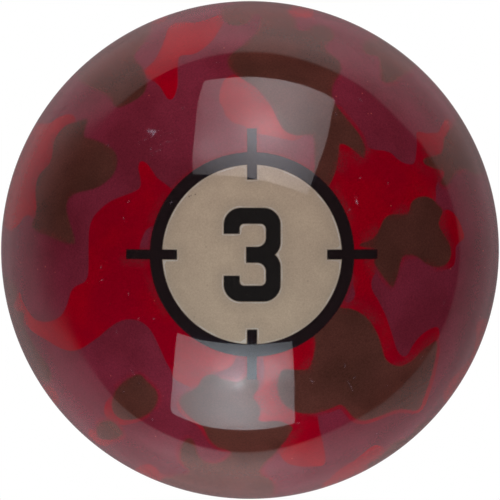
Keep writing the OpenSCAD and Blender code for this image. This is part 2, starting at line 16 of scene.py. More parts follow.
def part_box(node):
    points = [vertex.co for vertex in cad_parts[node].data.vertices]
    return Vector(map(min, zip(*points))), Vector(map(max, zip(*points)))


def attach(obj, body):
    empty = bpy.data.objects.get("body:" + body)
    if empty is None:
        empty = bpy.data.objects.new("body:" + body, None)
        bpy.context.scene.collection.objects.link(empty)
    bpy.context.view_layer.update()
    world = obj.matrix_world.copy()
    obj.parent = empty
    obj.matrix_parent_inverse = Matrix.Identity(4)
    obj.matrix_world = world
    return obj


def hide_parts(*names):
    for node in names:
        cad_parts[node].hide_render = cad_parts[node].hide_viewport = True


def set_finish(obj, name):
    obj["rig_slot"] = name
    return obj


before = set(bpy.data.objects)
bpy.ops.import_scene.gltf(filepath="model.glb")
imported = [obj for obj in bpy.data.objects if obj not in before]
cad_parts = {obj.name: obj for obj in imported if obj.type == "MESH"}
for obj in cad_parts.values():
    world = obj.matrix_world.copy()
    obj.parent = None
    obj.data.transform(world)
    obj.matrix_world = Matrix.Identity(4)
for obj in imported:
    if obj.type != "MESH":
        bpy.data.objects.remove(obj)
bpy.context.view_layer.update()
scene = bpy.context.scene

# ---------------------------------------------------------------- sizes
MM = 0.001
low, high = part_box("clear_coat")
BALL_R = max((high[i] - low[i]) / 2 for i in range(3))   # over the clear coat, metres
# The real coat bends light, so the pattern seems to reach the rim of the ball. Blender's coat is
# see-through without bending, so the resin comes up to just under it; the pieces reach down to
# the same depths as in the CAD.
COAT = 0.06 * MM
CORE_R = BALL_R - COAT                  # surface of the coloured resin
CORE_R_MM = CORE_R / MM
SUNK = 0.4 * MM - COAT                  # from there down to the resin surface of the CAD
DEPTHS = (0.0, SUNK + 0.5 * MM, SUNK + 1.0 * MM, SUNK + 1.5 * MM)
LEVEL = {"plum": 0, "brown": 1, "red": 2, "cream": 3, "black": 3}   # place in DEPTHS

# number insert, millimetres in the plane square to its axis
RING_R, RING_WIDTH = 11.66, 1.44        # outer radius
TICK_WIDTH, TICK_OUT, TICK_IN = 1.13, 2.66, 1.68
HALF_HEIGHT, HALF_WIDTH = 10.68 / 2, 6.48 / 2            # of the numeral
STROKE = 1.82
SIDE_STROKE = STROKE - 0.14
BAR_END = -0.69                         # left end of the middle bar
HOOK_END = 0.446                        # height of the hook's end, of the half height
LOWER_INNER_R, UPPER_INNER_R, HOOK_INNER_R, OUTER_R = 1, 0.62, 0.5, 1.95
WAIST_R, WAIST_UP = 1.89, 1.43          # outer corner beside the waist, and its centre's height

# spacing of the surface points, millimetres
EDGE_STEP = 0.17                        # along the colour edges, and out to the rows beside them
ROW_CLEAR, ROW_GAP = 0.13, 0.14         # least distance of a row point from an edge, from another
GRID_CLEAR, SPECK_CLEAR = 0.30, 0.16
GRID_COUNT = 36000
GRID_POLE = np.array([-0.465, 0.556, -0.689])            # where the flat map is cut open

BACK_SCALE, BACK_ROLL = 0.8, 112        # the back patches are smaller and rolled, degrees

# view directions from the ball's centre: to the eye, and right and up as the eye sees them
TURN, LIFT = math.radians(-0.5), math.radians(1.1)
EYE = np.array([math.sin(TURN) * math.cos(LIFT), -math.cos(TURN) * math.cos(LIFT), math.sin(LIFT)])
RIGHT = np.array([math.cos(TURN), math.sin(TURN), 0.0])
UP = np.cross(EYE, RIGHT)

# ---------------------------------------------------------------- outlines
# The same control points as the CAD: right,up in hundredths of the radius on the front
# elevation, where a point further than 100 from the middle lies past the rim. Each block is the
# node's name and its points. Earlier outlines lie over later ones.
OUTLINE_TABLE = """
brown_patch_top
-11.6,95.6 -10.6,92.9 -8.6,90.6 -4.8,89.9 -1.2,90.8 0.8,92.9 2.2,94.4 4,94 4,91.4 2.8,87.6
0,84.5 -3.4,81.5 -6.8,79 -8.6,76.9 -8.8,74.4 -7.6,72 -5,69.7 -1.8,67.5 2,65.1 6,60.9 8.8,56.8
10.8,52.7 12.9,48.8 15.6,46.6 19.5,45.7 24.7,45.7 25.5,42 25.8,36.5 25.6,31.5 24,26 29,22
31.8,26.2 33.6,30 34.9,34.7 35.5,39 35.9,42.2 38.6,41.8 41.6,39.7 43.9,37.9 45.3,36.9 46,38.8
45.9,41.4 44.8,44.2 42.8,47.5 40.1,50.8 37.3,54.2 34.6,57.5 33.1,60.4 32.8,63.6 33.6,66.8
35.3,69.5 36.5,72.6 35.6,75.7 33,78 30.6,80.2 30.8,82.3 33.3,84.4 33.9,86.6 32,88.9 28.8,90.2
25.4,90 23.4,88.4 20.8,88 18.5,89.2 18.4,92.4 16.8,93.9 15.2,95.5 16.5,97.4 17.6,99.8 17,107
8,111 -1,108 -2,103 -2.6,99.7 -7.8,98.4 -11,97.4

brown_patch_top_left
-69.9,71.6 -69,69 -66.6,66.6 -62.6,64.6 -58.8,62.8 -56,60.8 -54.8,58.6 -53.2,57.1 -50.6,57.5
-46.8,59.4 -43.5,61.6 -41.6,64.2 -41.2,67 -42,70.6 -43.4,73.4 -45.4,75.5 -46.2,77.9 -44.7,80.2
-42,83.6 -40.1,87 -39.7,90.2 -40.5,94 -47,99 -60,92 -70,82 -75,74

brown_patch_left
-65.4,52.4 -68.2,51.8 -71,50.9 -73.8,49.9 -75.8,48 -77.6,45.6 -78.8,42.4 -79.2,38.6 -80.2,34.9
-82.8,32 -84.8,29.2 -85.8,25.8 -85.9,21.6 -85.6,17.4 -86.2,13.4 -87.5,10.2 -86.6,8.4 -84.6,7.1
-81,5.8 -77.4,4.2 -73.6,2.8 -70.1,2.7 -70.3,5.4 -71.5,9 -72.8,13.4 -73.4,17.6 -72.2,20.8
-69.4,22.7 -64.8,23.8 -60.6,25.2 -57.2,27.5 -54.6,30.2 -53.3,33.4 -53.1,36.6 -54.2,39.4
-56.8,41.5 -60.8,43.5 -64.6,44.7 -66.3,45.6 -66,48.5 -65.3,50.6

brown_patch_left_edge
-97.6,-10.6 -96,-12.4 -94.1,-14 -93.3,-16.8 -93.7,-20 -94.8,-22.6 -93.2,-24.4 -91,-25
-90.6,-27.6 -90.8,-29.6 -89.2,-33.4 -86.8,-37.6 -84.1,-42 -81.4,-45.8 -79.9,-49 -79.6,-51.6
-81,-53.2 -83.2,-52.8 -85.4,-51.4 -88.5,-51 -95,-44 -101,-32 -104,-20 -103,-12 -99.6,-9.6

brown_patch_lower_left
-44,-49.8 -42.6,-50.8 -41.2,-52.4 -39.2,-54.2 -37.4,-56.4 -36.8,-58.9 -37.4,-61.6 -39,-64.2
-41.3,-66 -44,-67.3 -47.4,-68 -50.8,-67.9 -53.4,-66.5 -54.9,-64.3 -55.3,-61.4 -54.7,-58.4
-53.4,-55.7 -50.8,-53 -48.2,-51.2 -45.8,-50

brown_spot_lower_left
-60,-69 -56.7,-68.1 -54,-69.3 -52,-71.5 -51,-73.6 -52.7,-75.3 -55.6,-76.1 -58.8,-76 -61,-74.6
-61.6,-72.4 -61.2,-70.4

brown_patch_bottom
-28.3,-60.4 -27.6,-58.6 -25.6,-57 -22.8,-55.9 -20.6,-54 -19.4,-51.6 -17,-50 -13.9,-49.8
-11.2,-51.4 -7.9,-52.2 -4.6,-52.6 -2,-51 0.5,-48 2.4,-50.8 3.6,-52.8 3.2,-55.4 1.5,-58.6
2.6,-60.6 3.9,-62.8 4,-65.8 3.4,-68 6,-68.6 9.5,-68.3 12.9,-68.7 15.6,-69.9 17,-71.2 16,-73.4
14,-76.4 11.6,-79.4 9.4,-82.2 7,-84.2 5.2,-86.4 4.1,-88.6 5.6,-90.5 8.2,-92.2 9.9,-94.6
9.6,-97.4 8.2,-100 6,-106 -8,-111 -24,-106 -35,-98 -36.4,-93.2 -35,-91.8 -32,-90.6 -28.6,-90
-25.4,-89.6 -24.6,-88.4 -25.6,-87.2 -27.3,-85.2 -28.1,-82.4 -27.7,-79.2 -26.2,-76.5 -24.3,-75.2
-22.8,-76.1 -21.9,-78.2 -21.2,-80.6 -20,-83 -17.8,-84.7 -14.6,-85.3 -11.4,-84.6 -9,-83
-7.7,-81.2 -9,-80.1 -12.5,-79.2 -14.8,-77.5 -16.8,-75 -18.3,-71.8 -19.6,-70 -22.4,-68
-25.2,-65.6 -27.6,-62.6

brown_patch_lower_right
36.4,-23 39,-23.2 42.3,-24.2 45.6,-26.2 48.2,-28.9 50.3,-32.3 51.9,-36.2 53,-40.2 54.4,-43.7
57,-45.8 60.3,-46.3 63.6,-45 66.3,-42.8 69,-40.1 71.8,-37.9 74.4,-36.3 74.9,-38.6 74.4,-42.8
73.6,-47 72.3,-51.7 70.8,-56.3 69.4,-60.3 68.2,-63 66.4,-64.3 63.6,-64.1 60.3,-63.9 56.9,-64.6
53.5,-66 49.8,-67.3 46.2,-68.2 43,-67.9 40.4,-66 38.2,-63.3 36.4,-62 34.4,-62.4 31.5,-63.7
28.2,-64.8 24.8,-65.4 21.4,-65.3 18.2,-64.6 15.6,-63.2 13.2,-61.2 11.6,-58.4 10.9,-54.8 11.4,-51
12.6,-48.3 15,-47.6 18.2,-47.8 22.6,-47.7 24.5,-45.4 25.5,-41.4 26.1,-37 25.4,-33 27,-26 33,-20

brown_patch_right
44.6,2.7 48.2,4 50.8,6.6 52.3,9.8 53.8,12.6 56.4,14.1 59.8,14.3 62.8,14.4 63.7,16 64.4,18.6
66.4,20.6 69.6,21.4 72.7,20.5 75,18.3 77,15.9 76.3,13.2 75.5,10.6 76.6,7.8 78.3,5.2 79.7,2.5
80.4,-0.2 80.1,-3.3 78.4,-5.7 75.8,-6.8 73,-6.6 70.3,-5.4 67.8,-3.4 65.4,-2.2 62.8,-2 61,-2.9
60,-5.4 59.3,-8.8 58.3,-12.2 56.9,-14.8 54.9,-12.9 52.9,-10.4 51,-7.6 49.6,-5 50,-2 49.2,0.6
46.4,1.1 43.8,1.7

brown_patch_right_edge
84.6,54.4 82.9,53.2 81.9,51.3 80.5,49.2 79,46.8 77.6,44.6 77.3,41.4 76.5,39 74.2,37.9 71.6,37.3
69.4,36.1 69.8,34.5 71.8,33.4 74.4,32.4 77,31.9 77.8,30.5 76.9,28.5 76.4,26.8 77.8,25.6
79.4,26.4 80.6,28.2 82.2,30.4 84,31.9 86.3,32.2 88.4,31 90.4,30 92.3,30.1 93.6,31.2 95.2,31.4
98,34 98,42 92,52 87.5,56

brown_patch_top_right
45.3,82.6 46.6,84.3 49.6,84.9 52.4,85.4 56,88 64,86 71,79 68.5,75.2 66.4,74 65.3,72.2 63,70.9
60.3,69.1 57.9,67.5 55,66.9 52.8,67.9 52.2,70.8 52.1,74.6 51.5,77.3 49.6,78 46.8,78.5 45.3,80.6

brown_patch_bottom_right
75,-67.2 72.4,-67.6 70.2,-69 67.6,-70.4 65.6,-72.9 64.2,-74.6 61.6,-75.6 59,-76.6 57,-77.7
54.9,-80.2 52.9,-82.3 50.8,-84 48.2,-85.4 47.2,-87.4 47,-90 56,-91 68,-84 77,-74

red_patch_top_left
-41.8,72.6 -40,74.1 -38,76.2 -36.5,79 -35,82.2 -33.8,85.6 -32.8,88.8 -30.4,90.8 -26.6,91.4
-22.6,91.1 -18.6,91.9 -14.6,93.4 -11.4,94.3 -10.9,91 -12.4,88 -14,85.4 -15.8,83.1 -18.1,81.1
-20.6,79.3 -23.4,78.2 -26.4,78 -28.3,77.2 -28.9,74 -28.9,70 -29,66 -29.7,62.8 -31,60.4
-32.8,60.4 -34.4,62.7 -36,65.3 -38.7,67.6 -41,68.7 -44,70.5

red_patch_top_left_edge
-42,91.6 -38.6,90.9 -36,91.2 -33.6,92.6 -33,95 -36,99 -44,98

red_patch_left_edge
-86.4,50.8 -83.4,50.8 -80.3,50.9 -78,52.4 -75.2,53.7 -72.4,54.4 -70.4,53.4 -70,50 -73,44 -75,34
-79,26 -80,18 -82,14 -86,12.6 -88.2,13.9 -90.6,13.2 -92.8,10 -95.8,7.7 -98.6,9.4 -103,12
-104,24 -98,40 -91,51

red_patch_above_ring
-4,70.4 -7,70 -10,68.2 -11.5,65.2 -12.2,62 -12,59 -10.8,56.8 -10,54.2 -8,51.9 -5.4,50.4
-2,49.4 1,47 4,46.4 8,45.6 11.6,44.8 14.4,44.2 18,43.9 22,46.5 20,51 14,57 8,64 1,69

red_patch_left
-43.6,35.4 -41.2,34.5 -39,31.6 -36.8,28.6 -33.6,26.2 -30,22 -33,15 -37.5,10.5 -41.2,8.2 -43,4.8
-44,1.2 -43,-1.4 -37,-3 -36,-10 -33,-18 -29,-26 -22,-32 -14,-36.5 -6,-39.5 -5.6,-42.6
-7.2,-45.9 -10,-47.8 -13.4,-49 -15,-52 -18,-54.5 -20.8,-54.8 -22.6,-55.2 -24.8,-54.4 -28,-52.8
-30.6,-51 -31.6,-48 -33.4,-44.9 -35,-41.4 -36.8,-37.4 -38.8,-33.4 -41.3,-30.2 -44.7,-28.2
-48.7,-27.7 -52.7,-28.8 -56.7,-31.5 -60.1,-34.4 -62.8,-36.4 -66.6,-38.9 -70.1,-40.2 -74.1,-39.9
-78.1,-38.1 -82.1,-35.6 -86.1,-33.4 -89.4,-30.4 -92.5,-27.5 -97,-22.4 -96.6,-18.4 -92.6,-17
-91.4,-19.8 -89.8,-23 -88,-25.7 -86,-27.8 -82.1,-28.8 -78.8,-28.2 -75.6,-26.2 -73.6,-22.8
-72.4,-19.4 -71.3,-16.2 -69.2,-14.2 -66.2,-12.8 -64.8,-10 -64.5,-6 -64.5,1.2 -64.4,6.6
-63.7,10.6 -62.1,13.8 -59.4,16.7 -56,19.3 -52,21.1 -48,22.6 -44.6,24.2 -43.6,26.4 -44,29.6
-44.6,33

red_patch_below_ring
5.8,-41 12,-39 18,-36.5 23,-33 26.4,-33.6 28,-38 27,-44 22,-50 17,-52 14.5,-56 18,-62 25.5,-63
26.8,-65.6 27.3,-68.6 27.9,-72 28.8,-75.6 29.6,-79.6 30.2,-83.4 29.2,-86.2 25.6,-86.6
21.6,-86.7 17.6,-86.2 14.4,-84.9 12.6,-82.7 11.6,-80.2 12.6,-76 13,-72 8,-70 3.2,-69.4 1.6,-66
2.4,-62.4 0.6,-59 3.4,-55 5.4,-51 5.6,-46

red_patch_right
29,24 30.5,30 31.5,36 33,42 35.4,50 33.6,56 35.4,58 37.6,55.6 40.6,52.1 43.4,48.7 45.6,45
46.8,41.4 48.6,40.4 51,39.9 53.8,39.6 56.4,38.7 58.4,36.8 61,35 63.6,34.3 65.6,34.8 66.4,38
66.8,43 66.6,46.6 68,47.3 70.4,46.7 73,46.9 75.4,47.2 76.6,49.4 78.2,52.2 79.8,52.4 82,49
81,44 79,39 75,35 78.5,31.5 78,29 75.6,27.6 74.4,25.4 74.3,23 74.2,20 73,17 68,16 64,12 58,11
54,6 51,2 49,-0.8 44,-1.2 40,-1 37,4 36,10 33,18 30,22

red_patch_top_edge
14,95.8 17,92.8 19.6,93.4 22.6,93 25,93.6 25.4,95 25.2,96.9 25.6,99 22,103 15,104 12,100

red_patch_right_edge
78.6,16.1 80.8,15.3 83.3,12.4 85.1,8 85.7,4.8 83.7,3 82.3,1 82.2,-3 81.4,-6.2 78.8,-7.6 75,-7.4
73,-5 73,4 73,12 75.5,15

red_patch_lower_right
40,-2.8 48,-2.8 51.4,-4.8 50.4,-8.4 49,-11 48.4,-13.8 49.2,-16.8 50.9,-19.5 52.6,-22.8
54.2,-26.2 55.6,-30.2 56.9,-34.2 57.9,-37.5 59.3,-40.8 61.4,-42.6 63.3,-41.5 64.6,-39 66,-36.9
68.3,-34.2 71,-32.2 73.6,-31 75.3,-31.2 75.8,-33.6 75.6,-36.8 75.9,-40 75.4,-43.6 74.6,-47.8
73.4,-52.4 71.9,-57.1 70.6,-61.2 69,-64 66.8,-65.4 63.6,-65.2 60.3,-65 57,-65.8 53.7,-67.1
50,-68.5 46.2,-69.5 42.2,-69.2 39.6,-67.4 37.4,-64.8 35.6,-63.5 31.2,-65 29.6,-63 36,-58
44,-56 52,-52 50,-46 46,-38 42,-31 37,-27 32,-22 35,-18.5 38.4,-21 40.6,-20.4 42,-17.6
41.2,-14 41.3,-10 41,-6

red_patch_lower_right_edge
96,-27.6 92.6,-28 90.8,-31 90.8,-35 90,-39 88.4,-43 86.2,-46.4 83.8,-48.6 81,-51.8 79,-55.2
77.5,-58.4 78.4,-61.2 80,-63 84,-64 92,-54 98,-42 101,-30

red_patch_bottom_right
54.4,-79.8 52.6,-78.7 50.4,-78.2 47.8,-79.4 44.8,-82 41,-84.9 37.4,-87 34.4,-89.4 31.4,-92.2
29,-94.6 29,-98 38,-97 47,-93 53,-88 56.5,-82

red_patch_bottom_left_edge
-84,-54.4 -82.6,-54.2 -80,-54.8 -77.9,-56.8 -76.8,-59.4 -77,-62 -78.2,-64.4 -82,-65 -88,-58

red_patch_lower_left
-56.5,-59.6 -58,-62 -58.4,-64.8 -57.2,-67.3 -54.6,-69.1 -51,-70 -47.5,-69.4 -44,-68.4
-41.8,-67.2 -40.2,-65.6 -43,-62 -49,-58 -53.5,-58

red_spot_lower_left
-64.2,-71.7 -64.5,-74.3 -62.2,-77 -59.4,-78.5 -56.3,-78 -54.8,-75.6 -57,-74 -60.6,-71.5
-62.8,-72.4

red_patch_bottom_left
-46,-88.6 -44.6,-87 -42.9,-86.2 -40.6,-85.8 -38,-87.2 -35.9,-89.6 -34,-91.4 -35,-94.4 -39,-97
-45,-94

red_patch_bottom
-26,-60 -28.8,-61 -29,-63 -27.6,-65.2 -24.6,-67.8 -21.4,-69.9 -19.3,-72.2 -17.8,-75.2
-15.7,-77.9 -13,-79.8 -9,-80.9 -7,-78 -12,-73 -15,-69 -18,-65 -22,-62

red_patch_top_right_edge
47,87.6 49.4,86.6 51.4,85.6 52.6,83.8 56,85.5 55,90.5 50,90.8
"""
OUTLINES = {node: [[float(value) for value in point.split(",")] for point in points]
            for node, *points in map(str.split, OUTLINE_TABLE.split("\n\n"))}
# the patches that are repeated on the back
REPEATED = ("brown_patch_top", "brown_patch_left", "brown_patch_lower_right", "brown_patch_right",
            "brown_patch_lower_left", "brown_patch_top_left", "red_patch_left",
            "red_patch_right", "red_patch_top_left", "red_patch_above_ring", "red_patch_bottom")


def unit(vectors):
    return vectors / np.linalg.norm(vectors, axis=-1, keepdims=True)


def aim(point):
    """Direction from the ball's centre of an outline point."""
    length = math.hypot(point[0], point[1])
    out = length / 100
    angle = math.asin(out) if out <= 1 else math.pi - math.asin(2 - out)
    return (point[0] * RIGHT + point[1] * UP) / length * math.sin(angle) + EYE * math.cos(angle)


def smooth(loop, passes):
    """Four-point curve smoothing of a closed loop of directions, as the CAD does it but finer."""
    for _ in range(passes):
        after, before, second = np.roll(loop, -1, 0), np.roll(loop, 1, 0), np.roll(loop, -2, 0)
        both = np.empty((2 * len(loop), 3))
        both[0::2] = loop
        both[1::2] = unit((loop + after) * 0.5625 - (before + second) * 0.0625)
        loop = both
    return loop


def resample(loop):
    """A closed loop of directions at even steps."""
    closed = np.vstack([loop, loop[:1]])
    along = np.concatenate([[0], np.cumsum(np.linalg.norm(np.diff(closed, axis=0), axis=1))])
    count = max(12, int(round(along[-1] / (EDGE_STEP * MM / CORE_R))))
    at = np.linspace(0, along[-1], count, endpoint=False)
    return unit(np.column_stack([np.interp(at, along, closed[:, i]) for i in range(3)]))


def rolled(outline):
    """An outline made smaller and rolled for the back."""
    cos, sin = math.cos(math.radians(BACK_ROLL)), math.sin(math.radians(BACK_ROLL))
    return [[BACK_SCALE * (-x * cos - y * sin), BACK_SCALE * (-x * sin + y * cos)]
            for x, y in outline]


def half_turn(loop):
    """Front directions taken to the back."""
    return loop * np.array([-1.0, -1.0, 1.0])


def patch_loop(outline, back):
    points = rolled(outline) if back else outline
    loop = resample(smooth(np.array([aim(point) for point in points]), passes=4))
    return half_turn(loop) if back else loop


def arc(x, y, radius, start, end, steps=10):
    """Points of an arc round x, y between two angles in degrees."""
    angles = [math.radians(start + (end - start) * i / steps) for i in range(steps + 1)]
    return [(x + radius * math.cos(angle), y + radius * math.sin(angle)) for angle in angles]


def numeral_path():
    """Block numeral three: the upper bowl, then the same mirrored."""
    hook_y = HALF_HEIGHT * HOOK_END
    waist_angle = -math.degrees(math.asin(WAIST_UP / WAIST_R))
    upper = [(BAR_END, STROKE / 2)]
    upper += arc(HALF_WIDTH - SIDE_STROKE - LOWER_INNER_R, STROKE / 2 + LOWER_INNER_R,
                 LOWER_INNER_R, -90, 0)
    upper += arc(HALF_WIDTH - SIDE_STROKE - UPPER_INNER_R, HALF_HEIGHT - STROKE - UPPER_INNER_R,
                 UPPER_INNER_R, 0, 90, steps=7)
    upper += arc(-HALF_WIDTH + STROKE + HOOK_INNER_R, HALF_HEIGHT - STROKE - HOOK_INNER_R,
                 HOOK_INNER_R, 90, 180, steps=6)
    upper += [(-HALF_WIDTH + STROKE, hook_y), (-HALF_WIDTH, hook_y)]
    upper += arc(-HALF_WIDTH + OUTER_R, HALF_HEIGHT - OUTER_R, OUTER_R, 180, 90, steps=16)
    upper += arc(HALF_WIDTH - OUTER_R, HALF_HEIGHT - OUTER_R, OUTER_R, 90, 0, steps=16)
    upper += arc(HALF_WIDTH - WAIST_R, WAIST_UP, WAIST_R, 0, waist_angle)
    return upper + [(x, -y) for x, y in upper[-2::-1]]


def circle_path(radius):
    count = int(2 * math.pi * radius / EDGE_STEP)
    return [(radius * math.cos(angle), radius * math.sin(angle))
            for angle in np.linspace(0, 2 * math.pi, count, endpoint=False)]


def tick_path(turns):
    """Bar across the ring, turned by quarters from the right."""
    inner, outer, y = RING_R - RING_WIDTH - TICK_IN, RING_R + TICK_OUT, TICK_WIDTH / 2
    points = [(inner, -y), (outer, -y), (outer, y), (inner, y)]
    for _ in range(turns):
        points = [(-y, x) for x, y in points]
    return points


def plane_loop(points, back):
    """A flat outline carried straight on to the ball, at even steps."""
    corners = np.array(points)
    closed = np.vstack([corners, corners[:1]])
    stepped = []
    for start, end in zip(closed[:-1], closed[1:]):
        count = max(1, int(math.ceil(np.linalg.norm(end - start) / EDGE_STEP)))
        stepped += [start + (end - start) * i / count for i in range(count)]
    flat = np.array(stepped) / CORE_R_MM
    loop = np.column_stack([flat[:, 0], -np.sqrt(1 - (flat ** 2).sum(1)), flat[:, 1]])
    return half_turn(loop) if back else loop


def insert_loops(back):
    side = "back" if back else "front"
    shapes = [("black", "_numeral_three", numeral_path())]
    shapes += [("black", "_number_ring", tick_path(turns)) for turns in range(4)]
    shapes += [("cream", "_number_disc", circle_path(RING_R - RING_WIDTH)),
               ("black", "_number_ring", circle_path(RING_R))]
    return [(kind, side + node, plane_loop(path, back)) for kind, node, path in shapes]


loops = insert_loops(back=False) + insert_loops(back=True)   # (kind, node, directions)
for kind in ("brown", "red"):
    loops += [(kind, node, patch_loop(outline, back=False))
              for node, outline in OUTLINES.items() if node.startswith(kind)]
    loops += [(kind, node.replace("patch", "patch_back"), patch_loop(OUTLINES[node], back=True))
              for node in REPEATED if node.startswith(kind)]


# ---------------------------------------------------------------- triangulation of the sphere
def lattice(count):
    """Evenly spread directions."""
    i = np.arange(count) + 0.5
    z = 1 - 2 * i / count
    angle = i * math.pi * (3 - math.sqrt(5))
    radius = np.sqrt(1 - z * z)
    return np.column_stack([radius * np.cos(angle), radius * np.sin(angle), z])


def tree_of(points):
    tree = KDTree(len(points))
    for i, point in enumerate(points):
        tree.insert(point, i)
    tree.balance()
    return tree


def clear_of(points, tree, gap):
    """The points further than gap from every point of the tree."""
    return points[np.array([tree.find(point)[2] > gap for point in points], bool)]


def thinned(points, gap):
    """The points without those within gap of an earlier one that stays."""
    tree = tree_of(points)
    keep = np.ones(len(points), bool)
    for i, point in enumerate(points):
        if keep[i]:
            for _, j, _ in tree.find_range(point, gap):
                if j > i:
                    keep[j] = False
    return points[keep]


def mesh_sphere(pole, free, rings):
    """Delaunay triangulation of the unit sphere that holds every free point and closed loop.
    It is worked out in the plane by stereographic projection from pole. Returns the
    directions, the triangles, and for each triangle the loops it lies in."""
    pole = pole / np.linalg.norm(pole)
    side = unit(np.cross(pole, [0.3, 0.2, 0.9]))
    other = np.cross(pole, side)

    def chart(points):
        below = 1 - points @ pole
        return np.column_stack([(points @ side) / below, (points @ other) / below])

    points, faces, count = [free], [], len(free)
    for ring in rings:
        x, y = chart(ring).T
        if (x * np.roll(y, -1) - y * np.roll(x, -1)).sum() < 0:   # a loop is filled on its left
            ring = ring[::-1]
        faces.append(list(range(count, count + len(ring))))
        points.append(ring)
        count += len(ring)
    flat = [Vector(point) for point in chart(np.vstack(points))]
    verts, _, triangles, _, _, inside = delaunay_2d_cdt(flat, [], faces, 0, 1e-7, True)
    flat = np.array([(vert[0], vert[1]) for vert in verts])
    square = (flat ** 2).sum(1)[:, None]
    sphere = (2 * flat[:, :1] * side + 2 * flat[:, 1:] * other + (square - 1) * pole) / (square + 1)
    triangles = [list(corners) for corners in triangles]
    inside = [list(ids) for ids in inside]
    edges = {(corners[i], corners[(i + 1) % 3]) for corners in triangles for i in range(3)}
    top = len(sphere)
    sphere = np.vstack([sphere, pole])
    for i, j in edges:                            # close the hole round the pole
        if (j, i) not in edges:
            triangles.append([j, i, top])
            inside.append([])
    triangles = np.array(triangles)
    corner = sphere[triangles]
    normal = np.cross(corner[:, 1] - corner[:, 0], corner[:, 2] - corner[:, 0])
    inward = np.einsum("ij,ij->i", normal, corner.sum(1)) < 0
    triangles[inward] = triangles[inward][:, ::-1]
    return unit(sphere), triangles, inside


def edge_rows(edge_points):
    """A row of points close to each side of every colour edge."""
    rows = []
    for _, _, loop in loops:
        side = unit(np.cross(loop, np.roll(loop, -1, 0) - np.roll(loop, 1, 0)))
        for sign in (-1, 1):
            rows.append(unit(loop + side * sign * EDGE_STEP * MM / CORE_R)[::2])
    rows = clear_of(np.vstack(rows), tree_of(edge_points), ROW_CLEAR * MM / CORE_R)
    return thinned(rows, ROW_GAP * MM / CORE_R)


# dark specks in the front disc: x, z and radius in millimetres, darkness
SPECKS = ((-7.15, 6.6, 0.10, 0.9), (-6.95, 6.72, 0.08, 0.8), (-6.45, 6.85, 0.09, 0.9),
          (-5.25, 0.9, 0.12, 0.35), (-5.1, -3.5, 0.12, 0.3), (-6.6, -7.1, 0.12, 0.35),
          (6.35, -3.0, 0.11, 0.35), (5.9, -5.6, 0.12, 0.3))
# rings of points of a speck: radius over the speck's, points, share of its darkness
SPECK_RINGS = ((0.0, 1, 1.0), (0.7, 6, 0.75), (1.5, 9, 0.0))


def speck_points():
    """Direction and darkness of every point of the specks."""
    points = []
    for x, z, radius, darkness in SPECKS:
        for reach, count, share in SPECK_RINGS:
            out = radius * reach
            for k in range(count):
                angle = k * 2 * math.pi / count
                flat = np.array([x + out * math.cos(angle), z + out * math.sin(angle)]) / CORE_R_MM
                points.append((flat[0], -math.sqrt(1 - flat @ flat), flat[1], darkness * share))
    return np.array(points)


edge_points = np.vstack([loop for _, _, loop in loops])
rows = edge_rows(edge_points)
specks = speck_points()
grid = clear_of(lattice(GRID_COUNT), tree_of(np.vstack([edge_points, rows])),
                GRID_CLEAR * MM / CORE_R)
grid = clear_of(grid, tree_of(specks[:, :3]), SPECK_CLEAR * MM / CORE_R)
free = np.vstack([grid, rows, specks[:, :3]])
points, triangles, inside = mesh_sphere(GRID_POLE, free, [loop for _, _, loop in loops])

node_kind = {node: kind for kind, node, _ in loops}
order = list(node_kind)                           # pieces, the topmost first
region = np.full(len(triangles), -1)              # the piece of each triangle; -1 is the core
for i, ids in enumerate(inside):
    if ids:
        region[i] = order.index(loops[min(ids)][1])
kind_of = np.array([*node_kind.values(), "plum"])[region]

# the edges of the closed mesh, each with the two triangles that share it
half_edges = np.vstack([triangles[:, [0, 1]], triangles[:, [1, 2]], triangles[:, [2, 0]]])
owner = np.tile(np.arange(len(triangles)), 3)
key = np.sort(half_edges, 1)
key = key[:, 0].astype(np.int64) * len(points) + key[:, 1]
by_key = np.argsort(key, kind="stable")
first, second = owner[by_key[0::2]], owner[by_key[1::2]]
edges = half_edges[by_key[0::2]]


# ---------------------------------------------------------------- distances to the colour edges
FARTHEST = 6.0                                    # millimetres


def edge_distance(test):
    """Millimetres along the surface from each point to the nearest edge that passes the test."""
    chosen = edges[test]
    middle = unit(points[chosen[:, 0]] + points[chosen[:, 1]])
    tree = tree_of(np.vstack([points[chosen[:, 0]], middle]))
    distance = np.full(len(points), FARTHEST, np.float32)
    on_edge = np.zeros(len(points), bool)
    on_edge[chosen.ravel()] = True
    for i, point in enumerate(points):
        distance[i] = 0.0 if on_edge[i] else min(FARTHEST, tree.find(point)[2] * CORE_R / MM)
    return distance


def borders(member):
    """The edges with a member triangle on one side only."""
    return member[first] != member[second]


def beside(member):
    return member[first] | member[second]


is_brown = kind_of == "brown"
is_insert = np.isin(kind_of, ("black", "cream"))
fields = {
    "to_brown": edge_distance(borders(is_brown) & ~beside(is_insert)),
    "to_red": edge_distance(borders(kind_of == "red") & ~beside(is_brown) & ~beside(is_insert)),
    "to_insert": edge_distance(borders(is_insert)),
    "to_cream": edge_distance(borders(kind_of == "cream")),
    "speck": np.zeros(len(points), np.float32),
}
fields["speck"][len(grid) + len(rows):len(free)] = specks[:, 3]


# ---------------------------------------------------------------- pieces
def add_object(name, data):
    made = bpy.data.objects.new(name, data)
    scene.collection.objects.link(made)
    return made


